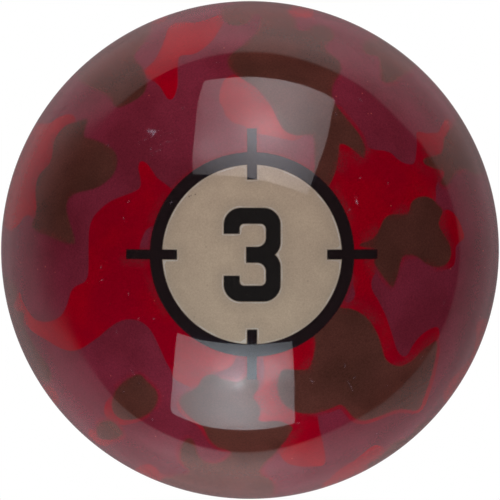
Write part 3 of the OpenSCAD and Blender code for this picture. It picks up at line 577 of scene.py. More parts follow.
def finish_mesh(name, verts, faces, attributes, mesh_name=None):
    mesh = bpy.data.meshes.new(mesh_name or name)
    mesh.from_pydata([tuple(vert) for vert in verts], [], faces)
    mesh.validate()
    mesh.update(calc_edges=True)
    for attribute, values in attributes.items():
        layer = mesh.attributes.new(attribute, "FLOAT", "POINT")
        layer.data.foreach_set("value", np.asarray(values, np.float32))
    mesh.polygons.foreach_set("use_smooth", np.ones(len(mesh.polygons), bool))
    mesh.set_sharp_from_angle(angle=math.radians(35))
    return add_object(name, mesh)


def inlay(node, patch, depth):
    """Closed solid: the piece's patch of the core surface, and the same patch depth below it."""
    used, patch = np.unique(patch, return_inverse=True)
    patch = patch.reshape(-1, 3).tolist()
    count = len(used)
    verts = np.vstack([points[used] * CORE_R, points[used] * (CORE_R - depth)])
    rim = dict.fromkeys(edge for i, j, k in patch for edge in ((i, j), (j, k), (k, i)))
    faces = patch + [[k + count, j + count, i + count] for i, j, k in patch]
    faces += [[j, i, i + count, j + count] for i, j in rim if (j, i) not in rim]
    attributes = {name: np.tile(values[used], 2) for name, values in fields.items()}
    return finish_mesh(node + "_resin", verts, faces, attributes, mesh_name="inlay_" + node)


def core():
    """The ball's surface with a pocket under every piece."""
    level_of = np.array([LEVEL[kind] for kind in kind_of])
    present = np.zeros((len(points), len(DEPTHS)), bool)
    for corner in range(3):
        present[triangles[:, corner], level_of] = True
    index = np.full(present.shape, -1)
    index[present] = np.arange(present.sum())
    where = np.argwhere(present)
    verts = points[where[:, 0]] * (CORE_R - np.array(DEPTHS)[where[:, 1]])[:, None]
    faces = np.column_stack([index[triangles[:, corner], level_of] for corner in range(3)]).tolist()
    for (i, j), upper, lower in zip(edges.tolist(), level_of[first], level_of[second]):
        if upper == lower:
            continue
        if upper > lower:                         # i to j runs along the first triangle
            i, j, upper, lower = j, i, lower, upper
        down_i = [int(index[i, k]) for k in range(upper, lower + 1) if present[i, k]]
        down_j = [int(index[j, k]) for k in range(upper, lower + 1) if present[j, k]]
        faces.append(down_i + down_j[::-1])
    attributes = {name: values[where[:, 0]] for name, values in fields.items()}
    return finish_mesh("core_resin", verts, faces, attributes)


pieces = {node: inlay(node, triangles[region == i], DEPTHS[LEVEL[node_kind[node]]])
          for i, node in enumerate(order)}
pieces["core"] = core()

# ---------------------------------------------------------------- clear coat
# Nicks and hairline scratches of use: right, up (hundredths of the radius), length mm,
# direction degrees, half width mm, strength
MARKS = [
    (-38.9, 47.2, 0.45, -4, 0.19, 0.95), (-38.6, 46.2, 0.15, 80, 0.15, 0.85),
    (-37.0, 47.6, 0.3, 8, 0.08, 0.3), (-41.6, 44.2, 0.4, 26, 0.06, 0.45),
    (-32.8, 43.1, 0.5, 4, 0.06, 0.5), (-35.6, 42.0, 0.12, 0, 0.06, 0.5),
    (-39.6, 40.3, 0.15, 100, 0.07, 0.6), (-36.7, 39.6, 0.75, 22, 0.05, 0.4),
    (-39.3, 38.6, 0.12, 40, 0.06, 0.5), (-38.8, 37.6, 0.12, 40, 0.05, 0.4),
    (-44.2, 42.9, 0.2, 60, 0.05, 0.3), (-29.2, 43.7, 0.15, 30, 0.05, 0.35),
    (-33.0, 46.4, 1.6, 14, 0.04, 0.18), (-56.6, 41.8, 0.2, 70, 0.08, 0.5),
    (-90.0, 32.0, 0.3, 50, 0.09, 0.6), (-26.8, 56.6, 0.2, 20, 0.08, 0.5),
    (-12.9, 74.8, 0.25, 10, 0.08, 0.5), (11.3, 91.8, 0.3, 0, 0.09, 0.6),
    (34.3, 54.0, 0.25, 60, 0.08, 0.5), (44.0, 60.0, 0.2, 130, 0.08, 0.5),
    (43.8, 28.7, 0.2, 20, 0.07, 0.5), (55.0, 26.6, 0.2, 75, 0.07, 0.45),
    (42.5, 19.2, 0.25, 95, 0.10, 1.0), (39.7, 16.0, 0.2, 45, 0.08, 0.6),
    (86.8, 11.8, 0.3, 80, 0.09, 0.6), (77.5, -21.0, 0.25, 60, 0.08, 0.5),
    (96.0, -7.9, 0.3, 90, 0.10, 0.6), (-48.4, 19.3, 0.2, 35, 0.07, 0.45),
    (-50.4, 12.7, 0.2, 120, 0.07, 0.45), (-59.4, -6.8, 0.25, 70, 0.08, 0.5),
    (-58.9, -12.0, 0.2, 15, 0.07, 0.5), (-48.4, -17.4, 0.2, 85, 0.07, 0.45),
    (-44.5, -27.4, 0.2, 40, 0.07, 0.5), (-38.3, -27.4, 0.2, 0, 0.07, 0.45),
    (-31.4, 19.0, 0.2, 50, 0.07, 0.5), (-46.7, -48.8, 0.25, 110, 0.08, 0.55),
    (-50.5, -56.5, 0.2, 20, 0.08, 0.5), (-44.3, -53.2, 0.2, 60, 0.07, 0.45),
    (-38.9, -67.7, 0.25, 30, 0.08, 0.5), (-53.2, -32.5, 0.2, 75, 0.07, 0.45),
    (24.7, -52.3, 0.3, 140, 0.08, 0.6), (19.0, -69.2, 0.2, 20, 0.08, 0.5),
    (-0.7, -93.5, 0.3, 0, 0.09, 0.6), (68.5, -43.3, 0.2, 45, 0.08, 0.5),
    (78.5, -44.2, 0.25, 70, 0.08, 0.5), (37.9, -46.0, 0.2, 100, 0.07, 0.5),
    (41.7, -50.9, 0.2, 60, 0.07, 0.45), (54.5, -54.2, 0.2, 30, 0.07, 0.45),
    (40.0, -54.2, 1.7, -51, 0.05, 0.45), (50.7, -73.4, 0.3, 20, 0.08, 0.6),
    (-93.0, 4.0, 2.4, 84, 0.10, 0.22), (-94.6, -3.0, 1.6, 96, 0.10, 0.2),
]
STRONG, FAINTER = 0.75, 0.55            # marks no stronger than the first are made fainter
MARK_DEPTH = 0.012 * MM
GAP = 0.012 * MM                        # keeps the coat and the resin from sharing a surface
MARK_STEP, MARK_POINT_GAP = 0.06, 0.035           # millimetres
ACROSS = (-3, -1.6, -0.8, 0, 0.8, 1.6, 3)         # points across a mark, in half widths
COAT_CLEAR, OUTER_COUNT, INNER_COUNT = 0.22, 30000, 20000
COAT_POLE = np.array([0.25, 0.93, 0.2])


def place_marks():
    """Centre, length, direction, half width and strength of every mark."""
    placed = [(aim((x, y)), length, angle, width, strength * (1.0 if strength > STRONG else FAINTER))
              for x, y, length, angle, width, strength in MARKS]
    rng = random.Random(31)
    for _ in range(70):                           # the sides and back are worn in the same way
        z, turn = rng.uniform(-1, 1), rng.uniform(0, 2 * math.pi)
        radius = math.sqrt(1 - z * z)
        centre = np.array([radius * math.cos(turn), radius * math.sin(turn), z])
        if centre @ EYE > 0.05:
            continue
        placed.append((centre, rng.choice((0.15, 0.2, 0.25, 0.3, 0.9)), rng.uniform(0, 180),
                       rng.uniform(0.07, 0.1), rng.uniform(0.4, 0.9)))
    return placed


def clear_coat():
    spots, strokes = [], []
    for centre, length, angle, width, strength in place_marks():
        east = unit(np.cross(np.array([0.0, 0.0, 1.0]), centre))
        north = np.cross(centre, east)
        cos, sin = math.cos(math.radians(angle)), math.sin(math.radians(angle))
        along, across = east * cos + north * sin, north * cos - east * sin
        strokes.append((centre, along, across, length * MM / BALL_R, width * MM / BALL_R, strength))
        count = max(2, int(round(length / MARK_STEP)))
        for i in range(-2, count + 3):
            for k in ACROSS:
                spots.append(unit(centre + along * (i / count - 0.5) * length * MM / BALL_R
                                  + across * k * width * MM / BALL_R))
    spots = thinned(np.array(spots), MARK_POINT_GAP * MM / BALL_R)
    spread = clear_of(lattice(OUTER_COUNT), tree_of(spots), COAT_CLEAR * MM / BALL_R)
    outer, outer_faces, _ = mesh_sphere(COAT_POLE, np.vstack([spread, spots]), [])
    mark = np.zeros(len(outer))
    for centre, along, across, length, width, strength in strokes:
        x, y = (outer - centre) @ along, (outer - centre) @ across
        close = np.linalg.norm(outer - centre, axis=1) < length + 6 * width
        past = np.maximum(np.abs(x) - length / 2, 0)
        worn = strength * np.exp(-(past ** 2 + y ** 2) / width ** 2)
        mark = np.where(close, np.maximum(mark, worn), mark)
    inner, inner_faces, _ = mesh_sphere(COAT_POLE, lattice(INNER_COUNT), [])
    verts = np.vstack([outer * (BALL_R - MARK_DEPTH * mark)[:, None], inner * (CORE_R + GAP)])
    faces = outer_faces.tolist() + (inner_faces[:, ::-1] + len(outer)).tolist()
    return finish_mesh("clear_coat_shell", verts, faces,
                       {"mark": np.concatenate([mark, np.zeros(len(inner))])})


pieces["clear_coat"] = clear_coat()
slots = {node: kind + "_resin" for node, kind in node_kind.items()}
slots.update(core="plum_resin", clear_coat="clear_coat")
for node, piece in pieces.items():
    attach(piece, "root")
    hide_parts(node)
    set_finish(piece, slots[node])


# ---------------------------------------------------------------- shader building
class Shader:
    """Short names for building the node tree of a material or world."""

    def __init__(self, owner, output="OutputMaterial"):
        self.owner = owner
        owner.use_nodes = True
        self.tree = owner.node_tree
        self.tree.nodes.clear()
        self.out = self.add(output)

    def put(self, socket, value):
        if isinstance(value, bpy.types.NodeSocket):
            self.tree.links.new(value, socket)
        elif socket.type == "RGBA":
            socket.default_value = (*value, 1.0)
        else:
            socket.default_value = value

    def add(self, kind, inputs={}, **settings):
        node = self.tree.nodes.new("ShaderNode" + kind)
        for name, value in settings.items():
            setattr(node, name, value)
        for name, value in inputs.items():
            self.put(node.inputs[name], value)
        return node

    def show(self, node):
        self.put(self.out.inputs["Surface"], node.outputs[0])
        return self.owner

    def math(self, operation, x, y=0.0, z=0.0, clamp=False):
        inputs = {0: x, 1: y, 2: z}
        return self.add("Math", inputs, operation=operation, use_clamp=clamp).outputs[0]

    def plus(self, x, y):
        return self.math("ADD", x, y)

    def minus(self, x, y):
        return self.math("SUBTRACT", x, y)

    def times(self, x, y):
        return self.math("MULTIPLY", x, y)

    def linear(self, value, gain, base):
        return self.math("MULTIPLY_ADD", value, gain, base)

    def bell(self, distance, width):
        """1 at no distance, falling off as a bell curve."""
        square = self.math("POWER", self.math("DIVIDE", distance, width), 2.0)
        return self.math("EXPONENT", self.times(square, -1.0))

    def vec(self, operation, vector, other=(0, 0, 0)):
        inputs = {0: vector, "Scale" if operation == "SCALE" else 1: other}
        node = self.add("VectorMath", inputs, operation=operation)
        single = operation in ("DOT_PRODUCT", "LENGTH", "DISTANCE")
        return node.outputs["Value" if single else "Vector"]

    def ramp(self, value, over, to=(0.0, 1.0)):
        """The value taken smoothly from the ends of over to the ends of to."""
        inputs = {"Value": value, "From Min": over[0], "From Max": over[1],
                  "To Min": to[0], "To Max": to[1]}
        return self.add("MapRange", inputs, interpolation_type="SMOOTHSTEP").outputs["Result"]

    def mix(self, factor, colour, other):
        return self.add("Mix", {0: factor, 6: colour, 7: other}, data_type="RGBA").outputs[2]


# offset of the noise that roughens each edge
RAGGED_OFFSET = {"to_brown": 3.0, "to_red": 7.0, "to_insert": 11.0, "to_cream": 17.0}


class Surface(Shader):
    """A material patterned by the place on the ball, in millimetres."""

    def __init__(self, name):
        super().__init__(bpy.data.materials.new(name))
        self.place = self.vec("SCALE", self.add("TexCoord").outputs["Object"], 1000.0)

    def attr(self, name):
        return self.add("Attribute", attribute_name=name).outputs["Fac"]

    def noise(self, size, detail=2.0, rough=0.5, offset=0.0, at=None):
        """Noise whose features are about size millimetres."""
        at = self.place if at is None else at
        if offset:
            at = self.vec("ADD", at, (offset, offset * 0.7, -offset))
        inputs = {"Vector": at, "Scale": 1.0 / size, "Detail": detail, "Roughness": rough}
        return self.add("TexNoise", inputs).outputs["Fac"]

    def patches(self, size, over, to=(0.0, 1.0), **noise):
        return self.ramp(self.noise(size, **noise), over, to)

    def dots(self, size, offset, over):
        """Scattered dots: distance from the nearest, in units of their spacing, ramped."""
        at = self.vec("ADD", self.place, (offset, -offset, offset * 0.3))
        node = self.add("TexVoronoi", {"Vector": at, "Scale": 1.0 / size}, feature="F1")
        return self.ramp(node.outputs["Distance"], over)

    def ragged(self, name):
        """Distance to an edge in millimetres, made slightly uneven."""
        distance = self.attr(name)
        noise = self.noise(0.35, rough=0.6, offset=RAGGED_OFFSET[name])
        return self.plus(distance, self.linear(noise, gain=0.16, base=-0.08))

    def marbled(self, colour, other, size, offset):
        return self.mix(self.patches(size, over=(0.35, 0.65), offset=offset), colour, other)

    def tint(self, colour, toward, near, over, strength=1.0):
        """The colour drawn toward another as near runs over its range."""
        return self.mix(self.ramp(near, over, to=(0.0, strength)), colour, toward)

    def pinpricks(self, colour):
        """Rare bright orange specks in the resin."""
        near = self.dots(1.7, offset=12.0, over=(0.075, 0.035))
        some = self.patches(6.0, over=(0.48, 0.58), detail=1.0, offset=91.0)
        return self.mix(self.times(self.times(near, some), 0.55), colour, resin(168, 84, 72))

    def lower_right(self):
        """0 at the upper left of the ball, 1 at the lower right."""
        across = self.vec("DOT_PRODUCT", self.place, (0.7, 0.0, -0.7))
        return self.ramp(across, over=(-13.0, 5.0))

    def bump(self, strength, distance, height, **normal):
        inputs = {"Strength": strength, "Distance": distance, "Height": height, **normal}
        return self.add("Bump", inputs).outputs["Normal"]

    def hairlines(self):
        """Fine wiping scratches: long thin noise in two directions, in patches."""
        thin, long = 0.16, 3.0                    # size across and along a scratch
        total = None
        for (x, z), offset in (((0.72, 0.69), 5.0), ((0.45, -0.89), 33.0)):
            across = self.vec("DOT_PRODUCT", self.place, (x / thin, 0.0, z / thin))
            along = self.vec("DOT_PRODUCT", self.place, (-z / long, 0.0, x / long))
            depth = self.plus(self.vec("DOT_PRODUCT", self.place, (0.0, 0.3, 0.0)), offset)
            at = self.add("CombineXYZ", {0: across, 1: along, 2: depth}).outputs[0]
            line = self.patches(1.0, over=(0.60, 0.74), detail=1.0, at=at)
            patch = self.patches(6.0, over=(0.45, 0.62), detail=1.0, offset=offset)
            line = self.times(line, patch)
            total = line if total is None else self.math("MAXIMUM", total, line)
        return self.times(total, 0.2)

    def finish(self, colour, clouding, grain, rough=(0.09, 0.16), pearl=0.05, specular=0.0,
               specular_tint=(1.0, 1.0, 1.0)):
        """The resin, clouded and grained, under the mirror finish of the clear coat."""
        cloud = self.noise(5.0, detail=3.0, rough=0.55, offset=1.3)
        fine = self.noise(0.2, rough=0.8, offset=2.1)
        level = self.plus(self.linear(cloud, 2 * clouding, 1 - clouding),
                          self.linear(fine, 2 * grain, -grain))
        gloss = self.patches(0.2, over=(0.3, 0.7), to=(0.88, 1.0), rough=0.8, offset=4.2)
        haze = self.patches(3.0, over=(0.3, 0.8), to=(0.018, 0.05), detail=3.0, rough=0.6,
                            offset=14.0)
        # the very faint unevenness that hand polishing leaves
        polish = self.bump(strength=0.045, distance=0.00001,
                           height=self.noise(2.4, detail=1.0, rough=0.4),
                           Normal=self.vec("NORMALIZE", self.place))
        return self.show(self.add("BsdfPrincipled", {
            "Base Color": self.vec("SCALE", colour, level),
            "Roughness": self.patches(0.5, over=(0.2, 0.8), to=rough),
            "Metallic": pearl,
            "Coat Weight": self.minus(gloss, self.hairlines()),
            "Coat IOR": 1.52,
            "Coat Roughness": haze,
            "Coat Normal": polish,
            "Specular IOR Level": specular,
            "Specular Tint": specular_tint,
            "Normal": self.bump(strength=0.25, distance=0.00002,
                                height=self.noise(0.12, rough=0.7, offset=5.0)),
        }))


# ---------------------------------------------------------------- materials
GAIN = 1.19                             # all resin colours are raised by this


def srgb(*channels):
    """Linear colour of an 8-bit one."""
    return tuple((value / 255) / 12.92 if value / 255 <= 0.04045
                 else ((value / 255 + 0.055) / 1.055) ** 2.4 for value in channels)


def resin(*channels, level=1.0):
    return tuple(value * GAIN * level for value in srgb(*channels))


PLUM, RED, BROWN = resin(92, 27, 40), resin(122, 0, 18), resin(64, 35, 29)


def plum_resin():
    mat = Surface("plum_resin")
    brown_edge, red_edge = mat.ragged("to_brown"), mat.ragged("to_red")
    insert_edge = mat.ragged("to_insert")
    colour = mat.marbled(resin(88, 25, 37), resin(97, 30, 44), size=7.0, offset=9.0)
    # a red fringe along the brown patches, in places
    patchy = mat.patches(3.5, over=(0.40, 0.58), detail=1.0, offset=21.0)
    grainy = mat.patches(0.25, over=(0.35, 0.60), rough=0.8, offset=23.0)
    fringe = mat.times(mat.ramp(brown_edge, over=(0.75, 0.10)),
                       mat.times(patchy, mat.lower_right()))
    fringe = mat.times(fringe, mat.linear(grainy, gain=0.4, base=0.22))
    colour = mat.mix(fringe, colour, resin(116, 10, 24))
    colour = mat.tint(colour, resin(104, 14, 24), insert_edge, over=(0.45, 0.05), strength=0.55)
    colour = mat.tint(colour, RED, red_edge, over=(0.16, -0.10), strength=0.5)
    colour = mat.tint(colour, BROWN, brown_edge, over=(0.26, -0.10), strength=0.5)
    return mat.finish(mat.pinpricks(colour), clouding=0.10, grain=0.56)


def red_resin():
    mat = Surface("red_resin")
    brown_edge, red_edge = mat.ragged("to_brown"), mat.ragged("to_red")
    insert_edge = mat.ragged("to_insert")
    colour = mat.marbled(resin(117, 0, 19), resin(127, 0, 17), size=6.0, offset=31.0)
    # a dusting of the layer above, thickest beside the brown patches and the ring
    close = mat.math("MAXIMUM", mat.ramp(mat.attr("to_brown"), over=(1.9, 0.2)),
                     mat.ramp(mat.attr("to_insert"), over=(1.3, 0.1)))
    drift = mat.patches(3.0, over=(0.38, 0.60), detail=1.0, offset=41.0)
    dust = mat.patches(0.22, over=(0.40, 0.62), rough=0.8, offset=43.0)
    amount = mat.times(mat.times(close, drift), mat.linear(dust, gain=0.55, base=0.12))
    colour = mat.mix(amount, colour, resin(84, 32, 36))
    # duller where a red edge runs close to a brown one
    strip = mat.times(mat.ramp(mat.attr("to_red"), over=(0.75, 0.15)),
                      mat.ramp(mat.attr("to_brown"), over=(0.8, 0.2)))
    colour = mat.mix(mat.times(strip, 0.5), colour, resin(100, 26, 38))
    colour = mat.tint(colour, PLUM, red_edge, over=(0.16, -0.10), strength=0.5)
    colour = mat.tint(colour, BROWN, brown_edge, over=(0.20, -0.10), strength=0.5)
    colour = mat.tint(colour, resin(70, 8, 12), insert_edge, over=(0.20, -0.06), strength=0.4)
    return mat.finish(mat.pinpricks(colour), clouding=0.07, grain=0.42)


def brown_resin():
    mat = Surface("brown_resin")
    brown_edge = mat.ragged("to_brown")
    colour = mat.marbled(resin(60, 33, 27), resin(69, 38, 32), size=6.0, offset=51.0)
    # red dust where the layer thins toward its edge
    thin = mat.times(mat.ramp(mat.attr("to_brown"), over=(0.9, 0.1)),
                     mat.patches(2.5, over=(0.45, 0.65), offset=61.0))
    dust = mat.patches(0.22, over=(0.42, 0.62), rough=0.8, offset=63.0)
    colour = mat.mix(mat.times(mat.times(dust, thin), 0.4), colour, resin(98, 20, 26))
    redder = mat.linear(mat.lower_right(), gain=0.6, base=0.1)
    beyond = mat.mix(redder, PLUM, resin(110, 10, 22))
    colour = mat.tint(colour, beyond, brown_edge, over=(0.26, -0.10), strength=0.5)
    # a little redder where the coat is looked through at a slant
    slant = mat.add("LayerWeight", {"Blend": 0.5}).outputs["Facing"]
    slanted = mat.vec("MULTIPLY", colour, (1.42, 1.04, 1.10))
    colour = mat.tint(colour, slanted, slant, over=(0.25, 0.65))
    return mat.finish(colour, clouding=0.10, grain=0.60)


def cream_resin():
    mat = Surface("cream_resin")
    edge = mat.attr("to_cream")
    colour = mat.marbled(resin(154, 138, 119, level=0.95), resin(159, 143, 123, level=0.95),
                         size=4.0, offset=71.0)
    # painted shade beside the black: a little darker and greyer there, with a thin pale line where
    # the two meet
    colour = mat.tint(colour, mat.vec("SCALE", colour, 0.94), edge, over=(1.9, 1.0))
    painted_shade_grey = resin(143, 130, 114, level=0.95)
    colour = mat.tint(colour, painted_shade_grey, edge, over=(1.2, 0.2), strength=0.5)
    halo = mat.times(mat.ramp(edge, over=(0.26, 0.15)), mat.ramp(edge, over=(0.04, 0.13)))
    patchy = mat.patches(2.0, over=(0.35, 0.65), to=(0.12, 0.62), detail=1.0, offset=77.0)
    colour = mat.mix(mat.times(halo, patchy), colour, resin(174, 173, 168, level=0.95))
    colour = mat.tint(colour, resin(50, 44, 42), mat.ragged("to_cream"), over=(0.10, -0.08),
                      strength=0.55)
    colour = mat.mix(mat.times(mat.attr("speck"), 0.75), colour, resin(70, 56, 50))
    pore = mat.dots(1.1, offset=8.0, over=(0.10, 0.05))
    colour = mat.mix(mat.times(pore, 0.18), colour, resin(120, 104, 92))
    return mat.finish(colour, clouding=0.025, grain=0.29, rough=(0.55, 0.7), pearl=0.0)


def black_resin():
    mat = Surface("black_resin")
    numeral, ring = resin(25, 23, 22, level=1.05), resin(24, 17, 18, level=1.05)
    colour = mat.tint(ring, numeral, mat.attr("to_insert"), over=(2.6, 3.6))
    colour = mat.tint(colour, resin(100, 90, 82), mat.ragged("to_cream"), over=(0.12, -0.08),
                      strength=0.35)
    colour = mat.tint(colour, resin(84, 12, 20), mat.ragged("to_insert"), over=(0.22, -0.08),
                      strength=0.35)
    return mat.finish(colour, clouding=0.06, grain=0.8, pearl=0.0, specular=0.05,
                      specular_tint=(0.1, 0.5, 1.0))


def coat():
    """Clear polyester. The mirror finish is carried by the resin a hair's breadth below, so this
    shell shows what is on the surface: scratches and nicks with dust in them."""
    mat = Surface("clear_coat")
    front = mat.minus(1.0, mat.add("NewGeometry").outputs["Backfacing"])
    worn = mat.linear(mat.noise(0.15, rough=0.7, offset=15.0), gain=0.4, base=0.22)
    dusty = mat.times(mat.times(mat.attr("mark"), worn), front)
    clear = mat.add("BsdfTransparent").outputs[0]
    dust = mat.add("BsdfDiffuse", {"Color": srgb(176, 160, 178)}).outputs[0]
    return mat.show(mat.add("MixShader", {0: dusty, 1: clear, 2: dust}))


finishes = {"plum_resin": plum_resin(), "red_resin": red_resin(), "brown_resin": brown_resin(),
            "cream_resin": cream_resin(), "black_resin": black_resin(), "clear_coat": coat()}
for piece in pieces.values():
    piece.data.materials.append(finishes[piece["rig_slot"]])

# ---------------------------------------------------------------- camera
DISTANCE = 140 * BALL_R
VIEW_MARGIN = 1.00220485067             # half the view's height over the ball's outline
SENSOR = 36
# half the view's width, for other views taken from about 160 radii
SIDE_ANGLE = math.asin(1.03 * math.sqrt(3) / 160)

cam_data = bpy.data.cameras.new("camera")
cam = add_object("camera", cam_data)
cam_data.sensor_fit, cam_data.sensor_height = "VERTICAL", SENSOR
cam_data.lens = SENSOR / 2 / (math.tan(math.asin(BALL_R / DISTANCE)) * VIEW_MARGIN)
cam_data.sensor_width = 2 * cam_data.lens * math.tan(SIDE_ANGLE)
cam_data.clip_start, cam_data.clip_end = 0.05, 100
cam.rotation_mode = "QUATERNION"
cam.location = Vector(EYE) * DISTANCE
cam.rotation_quaternion = Vector(-EYE).to_track_quat("-Z", "Y")
scene.camera = cam

# ---------------------------------------------------------------- softboxes
# Two lit panels that keep their place beside the camera.
REACH = 30 * BALL_R                     # from the ball's centre to a panel's plane
rig = add_object("light_rig", None)
rig.constraints.new("COPY_ROTATION").target = cam


def mirrored(x, y):
    """The camera's ray through a view point (hundredths of the ball's outline) after the ball
    has mirrored it, in camera axes and ball radii: where it leaves from and its direction."""
    far = DISTANCE / BALL_R
    ray = unit(np.array([x / 100, y / 100, -math.sqrt(far * far - 1)]))
    along = -ray[2] * far
    hit = np.array([0, 0, far]) + (along - math.sqrt(max(0.0, along * along - far * far + 1))) * ray
    return hit, ray - 2 * (ray @ hit) * hit


def softbox(name, outline, strength, tint, spots):
    """A flat lit panel that the ball mirrors inside the outline. spots are brighter places:
    x, y, width over the panel's reach, gain."""
    facing = unit(sum(mirrored(*point)[1] for point in outline))

    def on_panel(point):
        start, ray = mirrored(*point)
        return BALL_R * start + (REACH - BALL_R * (start @ facing)) / (ray @ facing) * ray

    side = unit(np.cross(np.array([0.0, 1.0, 0.0]), facing))
    other = np.cross(facing, side)
    flat = np.array([on_panel(point) for point in outline])
    flat = np.column_stack([flat @ side, flat @ other])
    corners = facing * REACH + flat[:, :1] * side + flat[:, 1:] * other
    mesh = bpy.data.meshes.new(name)
    mesh.from_pydata([tuple(corner) for corner in corners], [], [list(range(len(corners)))])
    mesh.update()
    panel = add_object(name, mesh)
    panel.parent = rig

    mat = Shader(bpy.data.materials.new(name))
    where = mat.add("TexCoord").outputs["Object"]
    level = None
    for x, y, width, gain in spots:
        centre = tuple(float(value) for value in on_panel((x, y)))
        glow = mat.times(mat.bell(mat.vec("DISTANCE", where, centre), width * REACH), gain)
        level = glow if level is None else mat.plus(level, glow)
    inputs = {"Color": tint, "Strength": mat.plus(level, strength)}
    mesh.materials.append(mat.show(mat.add("Emission", inputs)))
    panel.visible_camera = False
    panel.visible_shadow = False


# outlines of the reflections: right, up in hundredths of the ball's outline
UPPER = [(-23, 31), (-23, 38.5), (-22, 49), (-20.3, 62), (-18.7, 67), (-18.0, 68.0), (-10, 69.0),
         (0.7, 69.5), (9.6, 68.8), (20.7, 66.4), (29.6, 63), (34.3, 60.3), (32.7, 54), (31, 45),
         (28.7, 37.6), (26, 30.5), (23, 22.2), (6.5, 27.6), (-1.5, 29.2), (-12.3, 30),
         (-22.8, 30.4)]
LOWER = [(-29.2, -33.3), (-19.4, -36.2), (-8.3, -37.6), (0.7, -38), (9.6, -37.4), (16.9, -36.7),
         (17.6, -47.8), (17.8, -61), (18, -69.5), (9.6, -71.4), (0.6, -72.3), (-8.3, -72.1),
         (-17.2, -71), (-26, -68), (-29.6, -66.6), (-31.6, -65.0), (-31.9, -63), (-31.2, -55),
         (-30.3, -43.4)]
softbox("softbox_upper", UPPER, strength=0.52, tint=(1.19, 1.09, 1.13),
        spots=[(5.2, 47.6, 0.18, 1.7), (7.4, 38.6, 0.48, 1.86), (10.0, 66.2, 0.44, 2.03),
               (-16.6, 41.0, 0.16, 0.9)])
softbox("softbox_lower", LOWER, strength=1.45, tint=(0.98, 1.04, 1.10),
        spots=[(-5.1, -46.5, 0.16, 1.7), (-4.2, -65.3, 0.28, 2.4), (-6.8, -53.4, 0.125, 1.6),
               (-4.9, -51.5, 0.035, 1.9), (-4.6, -54.0, 0.035, 2.3), (9.2, -47.2, 0.165, 2.35),
               (-13.0, -51.0, 0.42, 1.4)])

# ---------------------------------------------------------------- world
# The dark room in front, and the white surround that shows in the rim. Curves round the rim:
# degrees from the right, anticlockwise, and value. First, how far out the surround begins:
RIM_EDGE = [(0, 0.842), (17, 0.828), (30, 0.81), (42, 0.792), (56, 0.793), (70, 0.791),
            (90, 0.795), (110, 0.790), (122, 0.787), (134, 0.785), (142, 0.80), (150, 0.83),
            (165, 0.84), (180, 0.82), (195, 0.81), (204, 0.795), (219, 0.795), (231, 0.809),
            (244, 0.812), (258, 0.813), (270, 0.812), (283, 0.802), (297, 0.797), (313, 0.814),
            (328, 0.827), (339, 0.836), (350, 0.84)]
# how soft its edge is
RIM_SOFT = [(0, 0.008), (90, 0.008), (132, 0.012), (142, 0.04), (150, 0.07), (165, 0.09),
            (180, 0.08), (195, 0.07), (206, 0.03), (220, 0.010), (270, 0.008)]
# its brightness every 15 degrees
RIM_BRIGHT = [(15 * i, value) for i, value in enumerate((
    0.21, 0.26, 0.32, 0.40, 0.58, 0.70, 0.68, 0.53, 0.44, 0.345, 0.30, 0.28,
    0.265, 0.27, 0.31, 0.40, 0.58, 0.94, 0.97, 0.60, 0.45, 0.36, 0.27, 0.235))]
# its brightness at the very rim
RIM_LAST = [(0, 0.24), (30, 0.28), (60, 0.30), (90, 0.28), (120, 0.33), (150, 0.30), (180, 0.28),
            (210, 0.29), (255, 0.31), (285, 0.31), (315, 0.27), (345, 0.24)]
# red, green and blue of the surround: tint, and what is added to it at the rim
RIM_TINTS = ((1.06, 0.30), (1.02, 0.02), (1.02, 0.05))


def rim_curve(sky, turn, table):
    """A closed curve over turn, which runs once from 0 to 1 round the rim."""
    node = sky.add("FloatCurve", {"Value": turn})
    node.mapping.use_clip = False
    curve = node.mapping.curves[0]
    table = sorted((angle / 360.0, value) for angle, value in table)
    table = [(table[-1][0] - 1, table[-1][1])] + table + [(table[0][0] + 1, table[0][1])]
    turns, values = zip(*table)
    stops = [0.0] + [at for at in turns if 0 < at < 1] + [1.0]
    stops = [(at, float(np.interp(at, turns, values))) for at in stops]
    curve.points[0].location, curve.points[1].location = stops[0], stops[-1]
    for stop in stops[1:-1]:
        curve.points.new(*stop)
    node.mapping.update()
    return node.outputs[0]


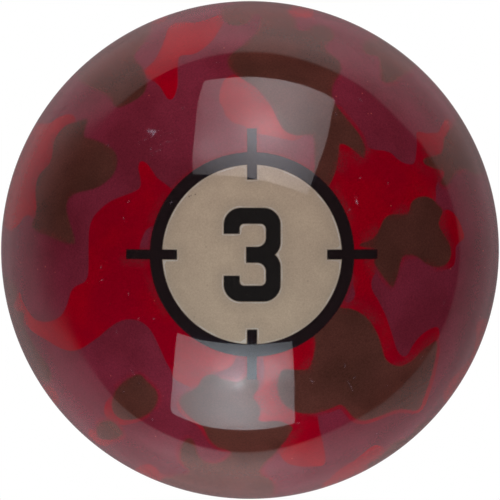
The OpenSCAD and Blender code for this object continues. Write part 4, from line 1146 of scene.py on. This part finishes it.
def studio():
    sky = Shader(bpy.data.worlds.new("studio"), "OutputWorld")
    direction = sky.add("TexCoord").outputs["Camera"]
    x, y, z = sky.add("SeparateXYZ", {0: direction}).outputs
    # how far from the middle of the ball a direction is mirrored, 0 at the middle, 1 at the rim
    out = sky.math("SQRT", sky.math("MULTIPLY_ADD", z, 0.5, 0.5, clamp=True))
    turn = sky.math("DIVIDE", sky.math("ARCTAN2", y, x), 2 * math.pi)
    turn = sky.math("FRACT", sky.plus(turn, 1.0))
    edge = rim_curve(sky, turn, RIM_EDGE)
    past = sky.math("DIVIDE", sky.minus(out, edge), rim_curve(sky, turn, RIM_SOFT))
    lit = sky.ramp(past, over=(-1.0, 1.0))
    rise = sky.ramp(sky.minus(out, edge), over=(0.0, 0.07), to=(0.75, 1.0))
    fall = sky.ramp(out, over=(0.84, 0.985))
    level = sky.times(rim_curve(sky, turn, RIM_BRIGHT), rise)
    level = sky.times(level, sky.minus(1.0, fall))
    last = sky.times(rim_curve(sky, turn, RIM_LAST),
                     sky.ramp(out, over=(0.965, 1.0), to=(1.0, 0.6)))
    level = sky.times(sky.plus(level, sky.times(fall, last)), lit)

    # matt surfaces gather a little more light from the room and the surround than the mirror
    # shows, more of it from above and below than from the sides
    toward = sky.plus(sky.linear(x, gain=-0.5, base=0.4),
                      sky.linear(y, gain=-0.4, base=sky.times(z, -0.5)))
    over = sky.times(y, y)
    toward = sky.linear(over, gain=3.6,
                        base=sky.linear(sky.times(x, x), gain=-1.6, base=toward))
    toward = sky.math("MAXIMUM", toward, 0.0)
    fill = sky.plus(sky.times(level, 3.4), sky.times(toward, 0.38))
    fill = sky.linear(sky.ramp(z, over=(-0.1, 0.5)),
                      gain=sky.linear(over, gain=1.7, base=0.4), base=fill)
    path = sky.add("LightPath")
    matt = path.outputs["Is Diffuse Ray"]
    level = sky.plus(sky.times(level, sky.minus(1.0, matt)), sky.times(fill, matt))
    surround = sky.add("CombineXYZ", {
        i: sky.times(level, sky.ramp(out, over=(0.86, 1.0), to=(tint, tint + more)))
        for i, (tint, more) in enumerate(RIM_TINTS)}).outputs[0]
    colour = sky.mix(path.outputs["Is Camera Ray"], surround, (1, 1, 1))
    return sky.show(sky.add("Background", {"Color": colour}))


scene.world = studio()


# ---------------------------------------------------------------- floor
def floor_paper():
    """Pale paper, with a painted soft contact shadow under the ball, shown when seen from above."""
    mat = Surface("floor_paper")
    away = mat.vec("LENGTH", mat.vec("MULTIPLY", mat.place, (1.0, 1.0, 0.0)))
    # painted contact shadow, strongest right under the ball
    painted_contact_shadow = mat.plus(mat.times(mat.bell(away, width=9.0), 0.55),
                    mat.times(mat.bell(away, width=27.0), 0.22))
    incoming = mat.add("NewGeometry").outputs["Incoming"]
    cosine = mat.math("ABSOLUTE", mat.vec("DOT_PRODUCT", incoming, (0.0, 0.0, 1.0)))
    painted_contact_shadow = mat.times(painted_contact_shadow, mat.ramp(cosine, over=(0.06, 0.24)))
    colour = mat.mix(painted_contact_shadow, (1.0, 1.0, 1.0), (0.16, 0.13, 0.13))
    return mat.show(mat.add("Emission", {"Color": colour}))


FLOOR_HALF = 30
floor_mesh = bpy.data.meshes.new("floor")
floor_mesh.from_pydata([(x * FLOOR_HALF, y * FLOOR_HALF, -BALL_R)
                        for x, y in ((-1, -1), (1, -1), (1, 1), (-1, 1))], [], [(0, 1, 2, 3)])
floor = add_object("floor", floor_mesh)
floor_mesh.materials.append(floor_paper())
for ray in ("diffuse", "glossy", "transmission", "volume_scatter", "shadow"):
    setattr(floor, "visible_" + ray, False)

view = scene.view_settings
view.view_transform, view.look, view.exposure, view.gamma = "Standard", "None", 0.0, 1.0
scene.render.film_transparent = False
bpy.context.view_layer.update()
